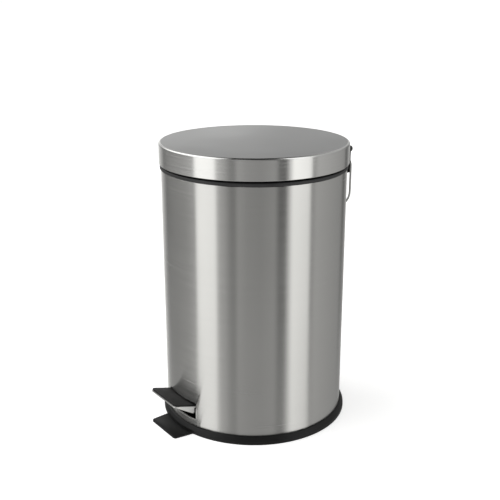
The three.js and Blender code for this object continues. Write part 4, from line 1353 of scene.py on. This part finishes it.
@dataclass
class Pedal:
    """The lever, one steel pressing, and the rubber pad on its foot plate."""

    steel: float = 2.0
    slope: float = 15.6
    corner: float = 5.0
    knee_rise: float = 6.0
    arm_top: float = 20.0
    arm_half: float = 8.0
    arm_foot: float = 8.0
    wide_end: float = 10.0
    narrow_start: float = 35.0
    bend_ahead: float = 18.0
    flange_start: float = -112.0
    flange_depth: float = 9.0
    eye_drop: float = 5.5
    edge_depth: float = 9.0
    edge_clear: float = 1.5
    seam: float = 0.5
    bore: float = 3.3
    pad_inset: float = 0.8
    pad_thick: float = 2.0
    pad_end: float = -112.0
    half: float = field(default_factory=lambda: high("pedal_lever").x)
    reach: float = field(default_factory=lambda: low("pedal_lever").y)
    top: float = field(default_factory=lambda: high("pedal_lever").z)
    back: float = field(default_factory=lambda: high("pedal_lever").y)
    axle: Vector = field(default_factory=lambda: pivot("pedal_pivot"))

    def height(self, y: float) -> float:
        """Returns the height of the foot plate's upper face at a distance along Y."""
        return self.top - (y - self.reach) * math.tan(math.radians(self.slope))

    def knee(self) -> float:
        """Returns how far along Y the foot plate's slope flattens."""
        return self.reach + (self.top - self.arm_top - self.knee_rise) / math.tan(math.radians(self.slope))

    def plan(self) -> list[Vector]:
        """Draws the lever seen from above, in [x, y].

        Returns:
            The outline's points.
        """
        half, arm = self.half, self.arm_half
        wide = self.axle.y + self.wide_end
        narrow = self.axle.y + self.narrow_start
        return soften([
            (-half, wide, 0), (-half, self.reach, self.corner), (half, self.reach, self.corner),
            (half, wide, 4), (arm, narrow, 4), (arm, self.back, 1), (-arm, self.back, 1), (-arm, narrow, 4),
        ], 8)

    def strip(self) -> Solid:
        """Draws the bent strip of the lever, cut to its plan.

        Returns:
            A closed mesh.
        """
        knee = self.knee()
        bend = self.axle.y - self.bend_ahead
        face = [
            (self.reach, self.top), (knee, self.height(knee)), (bend, self.arm_top),
            (self.back, self.arm_top),
        ]
        below = [Vector((y, z - self.steel)) for y, z in face]
        above = [Vector(point) for point in reversed(face)]
        plan = prism(self.plan(), Axis.Z, 0, 60)
        return combine(prism(below + above, Axis.X, -60, 60), Join.SHARE, plan)

    def cheek(self, side: int, corners: Sequence[Corner]) -> Solid:
        """Draws a plate along one side of the lever.

        Args:
            side: -1 for the left one, 1 for the right one.
            corners: Its outline's corners, in [y, z], with their radii.

        Returns:
            A closed mesh.
        """
        return prism(soften(corners), Axis.X, side * (self.half - self.steel), side * self.half)

    def flange(self, side: int) -> Solid:
        """Draws one of the lever's side flanges, which stay inside the can.

        Args:
            side: -1 for the left one, 1 for the right one.

        Returns:
            A closed mesh.
        """
        start = self.flange_start
        knee = self.knee()
        eye = self.axle.z - self.eye_drop
        end = self.axle.y + self.wide_end
        top = self.arm_top - self.seam
        return self.cheek(side, [
            (start, self.height(start) - self.flange_depth, 3),
            (knee, self.height(knee) - self.flange_depth - 2, 0),
            (self.axle.y - 8, eye, 3), (self.axle.y + 7, eye, 3), (end, eye + 6, 2), (end, top, 0),
            (self.axle.y - self.bend_ahead, top, 0), (knee, self.height(knee) - self.seam, 0),
            (start, self.height(start) - self.seam, 0),
        ])

    def tread_edge(self, side: int) -> Solid:
        """Draws one of the tread's folded side edges, which get deeper towards the can.

        Args:
            side: -1 for the left one, 1 for the right one.

        Returns:
            A closed mesh.
        """
        start = self.reach + self.corner
        shell = high("body_shell").x
        end = -math.sqrt(shell**2 - (self.half - self.steel) ** 2) - self.edge_clear
        return self.cheek(side, [
            (start, self.height(start) - self.steel - self.seam, 0),
            (end, self.height(end) - self.steel - self.edge_depth, 2),
            (end, self.height(end) - self.seam, 0), (start, self.height(start) - self.seam, 0),
        ])

    def pad(self) -> Solid:
        """Draws the rubber pad, which covers the foot plate as far as the inside of the can.

        Returns:
            A closed mesh.
        """
        outer = self.height(self.reach) + GAP
        inner = self.height(self.pad_end) + GAP
        side = [Vector(p) for p in (
            (self.reach, outer), (self.pad_end, inner), (self.pad_end, inner + self.pad_thick),
            (self.reach, outer + self.pad_thick),
        )]
        half = self.half - self.pad_inset
        front = self.reach + self.pad_inset
        plan = soften([
            (-half, front, self.corner), (half, front, self.corner), (half, self.pad_end, 0),
            (-half, self.pad_end, 0),
        ], 8)
        return combine(prism(side, Axis.X, -60, 60), Join.SHARE, prism(plan, Axis.Z, 0, 70))

    def build(self, finishes: Finishes) -> None:
        """Makes the lever and its pad.

        Args:
            finishes: The bin's finishes.
        """
        inside = self.arm_half - self.steel
        length = (self.axle.y + self.wide_end + 2, self.back)
        rise = (self.arm_foot, self.arm_top - self.seam)
        ribs = [block(sorted((side * inside, side * self.arm_half)), length, rise) for side in SIDES]
        flanges = [self.flange(side) for side in SIDES]
        edges = [self.tread_edge(side) for side in SIDES]
        blank = combine(self.strip(), Join.FUSE, *flanges, *edges, *ribs)
        bore = pin(Axis.X, self.bore, Vector((-60, *self.axle.yz)), 120)
        solid = ease(combine(blank, Join.CUT, bore), 0.35)
        hand_over("pedal_lever_pressing", solid, "pedal", [finishes.pedal], ["pedal_lever"])
        pad = ease(self.pad(), 0.6, 3)
        hand_over("pedal_pad_rubber", pad, "pedal", [finishes.pad], ["pedal_pad"])


@dataclass
class PushRod:
    """The wire rod up the rear wall, and the two snap-in guides that it slides in."""

    radius: float = 2.0
    bend: float = 3.5
    foot_end: float = 7.0
    clip_bore: float = 2.15
    guide_half: float = 6.0
    guide_rise: float = 4.0
    guide_bore: float = 2.3
    peg: float = 2.0
    peg_head: float = 3.2
    shell: float = field(default_factory=lambda: high("body_shell").x)

    def build(self, finishes: Finishes) -> None:
        """Makes the rod, its clip and its guides.

        Args:
            finishes: The bin's finishes.
        """
        y = middle("push_rod").y
        end = high("push_rod")
        foot = low("push_rod").z + self.radius
        hook = end.z - self.radius
        wire = BentWire(Vector((self.foot_end, y, foot)), Vector((-1, 0, 0)), self.radius)
        wire.run(self.foot_end - self.bend).bend(Vector((0, 0, 1)), self.bend, 90)
        wire.run(hook - foot - 2 * self.bend).bend(Vector((1, 0, 0)), self.bend, 90)
        wire.run(end.x - self.bend)
        hand_over("push_rod_wire", wire.close(), "push_rod", [finishes.wire], ["push_rod"])
        clip = push_on_clip("rod_clip", self.clip_bore)
        hand_over("rod_push_clip", clip, "push_rod", [finishes.plated], ["rod_clip"])
        for node in ROD_GUIDES:
            self.build_guide(node, y, finishes)

    def build_guide(self, node: str, rod_y: float, finishes: Finishes) -> None:
        """Makes one guide: a block with an eye, and a peg with a domed snap head outside the can.

        Args:
            node: The frame's node that it stands for.
            rod_y: Where the rod is, along Y.
            finishes: The bin's finishes.
        """
        z = middle(node).z
        back = high(node).y
        length = (low(node).y, self.shell - 1.8)
        rise = (z - self.guide_rise, z + self.guide_rise)
        body = ease(block((-self.guide_half, self.guide_half), length, rise), 1.0, 3)
        peg = pin(Axis.Y, self.peg, Vector((0, self.shell - 3, z)), back - self.shell + 2.6)
        head = pin(Axis.Y, self.peg_head, Vector((0, self.shell + GAP, z)), back - self.shell - GAP)
        eye = pin(Axis.Z, self.guide_bore, Vector((0, rod_y, z - 6)), 12)
        solid = combine(combine(body, Join.FUSE, peg, ease(head, 0.5, 3)), Join.CUT, eye)
        hand_over(f"{node}_clip_in", solid, "body", [finishes.black], [node])


# ------------------------------------------------------------------ handle, bucket and bail


@dataclass
class CarryHandle:
    """The wire loop on the hinge bracket."""

    radius: float = 1.4
    corner: float = 24.0
    top_bend: float = 2.2
    end: float = 36.5

    def build(self, finishes: Finishes) -> None:
        """Makes the loop, which hangs down from the bracket's lugs.

        Args:
            finishes: The bin's finishes.
        """
        swing = pivot("carry_handle_swing")
        leg = high("carry_handle").x - self.radius
        drop = swing.z - low("carry_handle").z - self.radius
        tip = leg - self.end - self.top_bend
        side = drop - self.top_bend - self.corner
        wire = BentWire(Vector((self.end, *swing.yz)), Vector((1, 0, 0)), self.radius)
        wire.run(tip).bend(Vector((0, 0, -1)), self.top_bend, 90)
        wire.run(side).bend(Vector((-1, 0, 0)), self.corner, 90, 20)
        wire.run(2 * (leg - self.corner)).bend(Vector((0, 0, 1)), self.corner, 90, 20)
        wire.run(side).bend(Vector((1, 0, 0)), self.top_bend, 90)
        wire.run(tip)
        solid = wire.close()
        hand_over("carry_handle_wire", solid, "carry_handle", [finishes.wire], ["carry_handle"])


@dataclass
class Bucket:
    """The lift-out bucket and its wire bail."""

    radius: float = 106.0
    foot_radius: float = 96.0
    foot_ring: float = 15.0
    wall: float = 2.0
    rim_foot: float = 352.8
    rim_top: float = 355.0
    ear_wall: float = 3.0
    ear_half: float = 5.0
    ear_rise: float = 4.5
    ear_corner: float = 3.5
    bail_bore: float = 1.8
    bail_radius: float = 1.5
    bail_bend: float = 2.5
    notch_start: float = 106.4
    rim: float = field(default_factory=lambda: high("bucket").x)
    foot: float = field(default_factory=lambda: low("bucket").z)
    axis: Vector = field(default_factory=lambda: pivot("bucket_bail_swing"))

    def tub(self) -> Solid:
        """Draws the tapered tub with its rolled rim and a ring under its floor.

        Returns:
            A closed mesh.
        """
        ring = self.foot_radius - self.foot_ring
        floor = self.foot + self.wall + 0.5
        return revolve(soften([
            (0, self.foot + 1, 0), (ring + 1, self.foot + 1, 0.8), (ring, self.foot, 0.4),
            (self.foot_radius, self.foot, 4), (self.radius, self.rim_foot, 0), (self.rim, self.rim_foot, 0.3),
            (self.rim, self.rim_top, 1.4), (self.radius - self.wall, self.rim_top, 1),
            (self.foot_radius - self.wall, floor, 5), (0, floor, 0),
        ], 6), closed=False)

    def ear(self, side: int) -> Solid:
        """Draws one of the two ears that hold the bail.

        Args:
            side: -1 for the left one, 1 for the right one.

        Returns:
            A closed mesh.
        """
        near = self.radius - self.wall
        half = self.ear_half
        foot = self.rim_top - 1
        top = self.axis.z + self.ear_rise
        corner = self.ear_corner
        outline = soften([(-half, foot, 0), (half, foot, 0), (half, top, corner), (-half, top, corner)], 6)
        return prism(outline, Axis.X, side * near, side * (near + self.ear_wall))

    def build(self, finishes: Finishes) -> None:
        """Makes the bucket and the bail that lies on its rim.

        Args:
            finishes: The bin's finishes.
        """
        near = self.radius - self.wall - 5
        holes = [
            pin(Axis.X, self.bail_bore, Vector((side * near, *self.axis.yz)), side * 15, 32) for side in SIDES
        ]
        notch = block(CRANK_WAY, (self.notch_start, 130), (self.rim_foot - 1, 362))
        ears = [self.ear(side) for side in SIDES]
        solid = combine(combine(self.tub(), Join.FUSE, *ears), Join.CUT, notch, *holes)
        hand_over("bucket_tub", solid, "bucket", [finishes.bucket], ["bucket"])
        self.build_bail(finishes)

    def build_bail(self, finishes: Finishes) -> None:
        """Makes the half-round bail.

        Args:
            finishes: The bin's finishes.
        """
        start = self.radius - self.wall - self.bail_radius
        reach = high("bucket_bail").x - self.bail_radius
        tip = reach - start - self.bail_bend
        wire = BentWire(Vector((start, *self.axis.yz)), Vector((1, 0, 0)), self.bail_radius, 16)
        wire.run(tip).bend(Vector((0, -1, 0)), self.bail_bend, 90)
        wire.bend(Vector((-1, 0, 0)), reach, 180, 64)
        wire.bend(Vector((1, 0, 0)), self.bail_bend, 90).run(tip)
        hand_over(
            "bucket_bail_wire", wire.close(), "bucket_bail", [finishes.wire], ["bucket_bail"],
        )


# ------------------------------------------------------------------ studio


@dataclass(frozen=True)
class Panel:
    """A soft wall of light or shade, by its bearing from the camera's side of the bin.

    Attributes:
        start: Bearing of its left edge, in degrees, positive to the camera's right.
        end: Bearing of its right edge.
        first: Brightness at its left edge.
        last: Brightness at its right edge.
    """

    start: float
    end: float
    first: float
    last: float


@dataclass
class Studio:
    """The white floor, the panels of light round the bin, and the camera."""

    bearing: float = 54.0
    distance: float = 1.1016
    height: float = 0.5801
    pitch: float = 17.85
    aside: float = 0.28
    lens: float = 59.8
    shift: float = 0.0074
    lamp_size: float = 1.6
    lamp_energy: float = 9.0
    lamp_place: tuple[float, float, float] = (-0.3, -0.5, 2.2)
    floor_radius: float = 30.0
    walls: tuple[Panel, ...] = (
        Panel(-180, -166, 1.2, 1.15), Panel(-150, -142, 0.5, 0.38), Panel(-136, -130, 0.18, 0.2),
        Panel(-125, -93, 0.24, 0.3), Panel(-86, -76, 0.34, 0.41), Panel(-73, -48, 1.42, 1.3),
        Panel(-44, -34, 0.48, 0.4), Panel(-28, -22.5, 0.22, 0.22), Panel(-19.5, -8, 0.38, 0.29),
        Panel(8, 25, 0.27, 0.36), Panel(30.5, 38.5, 0.1, 0.06), Panel(47.5, 71, 1.28, 1.2),
        Panel(73, 76.5, 0.28, 0.34), Panel(81, 136, 0.5, 0.32), Panel(141, 145, 0.1, 0.14),
        Panel(166, 180, 0.62, 0.72),
    )
    ground: tuple[Panel, ...] = (
        Panel(-180, -160, 1.2, 1.2), Panel(-150, -142, 0.55, 0.47), Panel(-126, -93, 0.32, 0.38),
        Panel(-85, -76, 0.5, 0.6), Panel(-72, -49, 1.05, 0.95), Panel(-44, -34, 0.52, 0.45),
        Panel(-27, -22, 0.4, 0.4), Panel(-19, 22, 0.44, 0.43), Panel(32, 37, 0.38, 0.34),
        Panel(50, 70, 0.98, 0.8), Panel(76, 80, 0.45, 0.5), Panel(86, 136, 0.46, 0.36),
        Panel(143, 146, 0.34, 0.36), Panel(165, 180, 0.56, 0.7),
    )
    ceiling: tuple[Panel, ...] = (
        Panel(-180, -160, 0.4, 0.26), Panel(-130, -52, 1.9, 1.7), Panel(-35, -24, 0.02, 0.02),
        Panel(-19, -8, 0.75, 0.45), Panel(8, 26, 0.25, 0.12), Panel(31, 39, 0.0, 0.0),
        Panel(46, 72, 1.5, 1.5), Panel(80, 120, 0.52, 0.5), Panel(150, 180, 0.55, 0.4),
    )

    def ramp(self, wiring: Wiring, turn: Socket, panels: Sequence[Panel]) -> Socket:
        """Turns panels into brightness by bearing.

        Args:
            wiring: The world's tree.
            turn: The bearing, as a share of a whole turn.
            panels: The panels, from left to right.

        Returns:
            The brightness, as a colour.
        """
        node = wiring.add("ValToRGB", {"Fac": turn})
        stops = node.color_ramp.elements
        marks = [mark for panel in panels for mark in ((panel.start, panel.first), (panel.end, panel.last))]
        while len(stops) > 1:
            stops.remove(stops[-1])
        for index, (bearing, level) in enumerate(marks):
            place = 0.5 + bearing / 360
            stop = stops[0] if index == 0 else stops.new(place)
            stop.position = place
            stop.color = (level, level, level * 0.985, 1.0)
        return node.outputs["Color"]

    def beam(self, wiring: Wiring, way: bpy.types.Node, light: Socket) -> Socket:
        """Darkens a strip of the ceiling that runs over the bin from front to back.

        Args:
            wiring: The world's tree.
            way: The node that splits the direction into its parts.
            light: The brightness so far.

        Returns:
            The brightness with the dark strip.
        """
        aside = wiring.add("Math", {0: way.outputs[1]}, operation="ABSOLUTE").outputs[0]
        clear = wiring.add("MapRange", {"Value": aside, "From Min": 0.26, "From Max": 0.5}).outputs[0]
        below = {"Value": way.outputs[2], "From Min": 0.5, "From Max": 0.75, "To Min": 1.0, "To Max": 0.0}
        lower = wiring.add("MapRange", below).outputs[0]
        lit = wiring.add("Math", {0: clear, 1: lower}, operation="MAXIMUM").outputs[0]
        return wiring.add("Mix", {0: lit, 6: (0.02, 0.02, 0.02, 1.0), 7: light}, data_type="RGBA").outputs[2]

    def build_world(self) -> None:
        """Makes the panels of light round the bin, which the camera sees as plain white."""
        world = bpy.data.worlds.new("studio")
        bpy.context.scene.world = world
        world.use_nodes = True
        wiring = Wiring(world.node_tree)
        way = wiring.add("TexCoord").outputs["Generated"]
        turned = wiring.add(
            "VectorRotate", {"Vector": way, "Angle": math.radians(90 - self.bearing)}, rotation_type="Z_AXIS",
        )
        parts = wiring.add("SeparateXYZ", {0: turned.outputs[0]})
        angle = wiring.add("Math", {0: parts.outputs[1], 1: parts.outputs[0]}, operation="ARCTAN2")
        turns = {0: angle.outputs[0], 1: 1 / (2 * math.pi), 2: 0.5}
        share = wiring.add("Math", turns, operation="MULTIPLY_ADD")
        walls = self.ramp(wiring, share.outputs[0], self.walls)
        ceiling = self.ramp(wiring, share.outputs[0], self.ceiling)
        ground = self.ramp(wiring, share.outputs[0], self.ground)
        fall = {"Value": parts.outputs[2], "From Min": -0.55, "From Max": -0.2}
        down = wiring.add("MapRange", fall, interpolation_type="SMOOTHSTEP")
        sides = wiring.add("Mix", {0: down.outputs[0], 6: ground, 7: walls}, data_type="RGBA").outputs[2]
        rise = {"Value": parts.outputs[2], "From Min": 0.12, "From Max": 0.42}
        up = wiring.add("MapRange", rise, interpolation_type="SMOOTHSTEP")
        light = wiring.add("Mix", {0: up.outputs[0], 6: sides, 7: ceiling}, data_type="RGBA").outputs[2]
        light = self.beam(wiring, parts, light)
        seen = wiring.add("LightPath").outputs["Is Camera Ray"]
        both = wiring.add("Mix", {0: seen, 6: light, 7: (1.05, 1.05, 1.05, 1.0)}, data_type="RGBA").outputs[2]
        background = wiring.add("Background", {"Color": both, "Strength": 1.0})
        wiring.add("OutputWorld", {"Surface": background.outputs[0]})

    def build_lamp(self) -> None:
        """Makes the soft lamp overhead, which steel doesn't mirror."""
        lamp = bpy.data.lights.new("overhead_softbox", "AREA")
        lamp.shape = "DISK"
        lamp.size = self.lamp_size
        lamp.energy = self.lamp_energy
        softbox = bpy.data.objects.new("overhead_softbox", lamp)
        softbox.location = self.lamp_place
        aim = Vector((0, 0, 0.2)) - softbox.location
        softbox.rotation_euler = aim.to_track_quat("-Z", "Y").to_euler()
        softbox.visible_glossy = False
        bpy.context.scene.collection.objects.link(softbox)

    def build_floor(self) -> None:
        """Makes the pale floor. Steel sees the panels through it, so that their bands run to the foot."""
        solid = bmesh.new()
        bmesh.ops.create_circle(solid, cap_ends=True, segments=64, radius=self.floor_radius)
        mesh = bpy.data.meshes.new("floor")
        solid.to_mesh(mesh)
        solid.free()
        floor = bpy.data.objects.new("floor", mesh)
        bpy.context.scene.collection.objects.link(floor)
        floor.visible_glossy = False
        paint = bpy.data.materials.new("pale_floor")
        paint.use_nodes = True
        wiring = Wiring(paint.node_tree)
        at = wiring.add("TexCoord").outputs["Object"]
        cloud = wiring.noise(at, Vector((3, 3, 3)), 2.0)
        colour = wiring.blend(cloud, (0.86, 0.86, 0.86), (0.9, 0.9, 0.9))
        matt = wiring.add("BsdfDiffuse", {"Color": colour})
        glow = wiring.add("Emission", {"Color": (1, 1, 1, 1), "Strength": 0.62})
        both = wiring.add("AddShader", {0: matt.outputs[0], 1: glow.outputs[0]})
        wiring.add("OutputMaterial", {"Surface": both.outputs[0]})
        mesh.materials.append(paint)

    def build_camera(self) -> None:
        """Makes the camera, which looks down on the bin from its front right."""
        lens = bpy.data.cameras.new("camera")
        lens.lens = self.lens
        lens.sensor_width = 36.0
        lens.shift_y = self.shift
        lens.clip_start = 0.05
        camera = bpy.data.objects.new("camera", lens)
        turn = math.radians(self.bearing)
        camera.location = (self.distance * math.sin(turn), -self.distance * math.cos(turn), self.height)
        camera.rotation_euler = (math.radians(90 - self.pitch), 0, math.radians(self.bearing + self.aside))
        bpy.context.scene.collection.objects.link(camera)
        bpy.context.scene.camera = camera

    def build(self) -> None:
        """Makes the whole studio."""
        bpy.context.scene.view_settings.view_transform = "Standard"
        self.build_world()
        self.build_lamp()
        self.build_floor()
        self.build_camera()


# ------------------------------------------------------------------ the bin


def dress_frame_nodes(finishes: Finishes) -> None:
    """Gives the frame's own small nodes, which keep their shape, their finish.

    Args:
        finishes: The bin's finishes.
    """
    dress = dict.fromkeys(HIDDEN_STEEL, finishes.plated)
    dress["lever_stop_pad"] = finishes.rubber
    for node, material in dress.items():
        slots = frame["nodes"][node].material_slots
        for slot in slots:
            slot.material = material
        log.info("%s keeps its shape, with %d slot dressed", node, len(slots))


def main() -> None:
    """Builds the studio and the bin."""
    logging.basicConfig(level=logging.INFO, format="%(message)s")
    finishes = Finishes()
    Studio().build()
    Shell().build(finishes)
    Base().build(finishes)
    Collar().build(finishes)
    HingeBracket().build(finishes)
    for node in BRACKET_SCREWS:
        Fastener().build(node, "body", finishes)
    Lid().build(finishes)
    LidArm().build(finishes)
    for node in LEAF_SCREWS:
        Fastener().build(node, "lid", finishes)
    Pedal().build(finishes)
    PushRod().build(finishes)
    CarryHandle().build(finishes)
    Bucket().build(finishes)
    dress_frame_nodes(finishes)


if __name__ == "__main__":
    main()
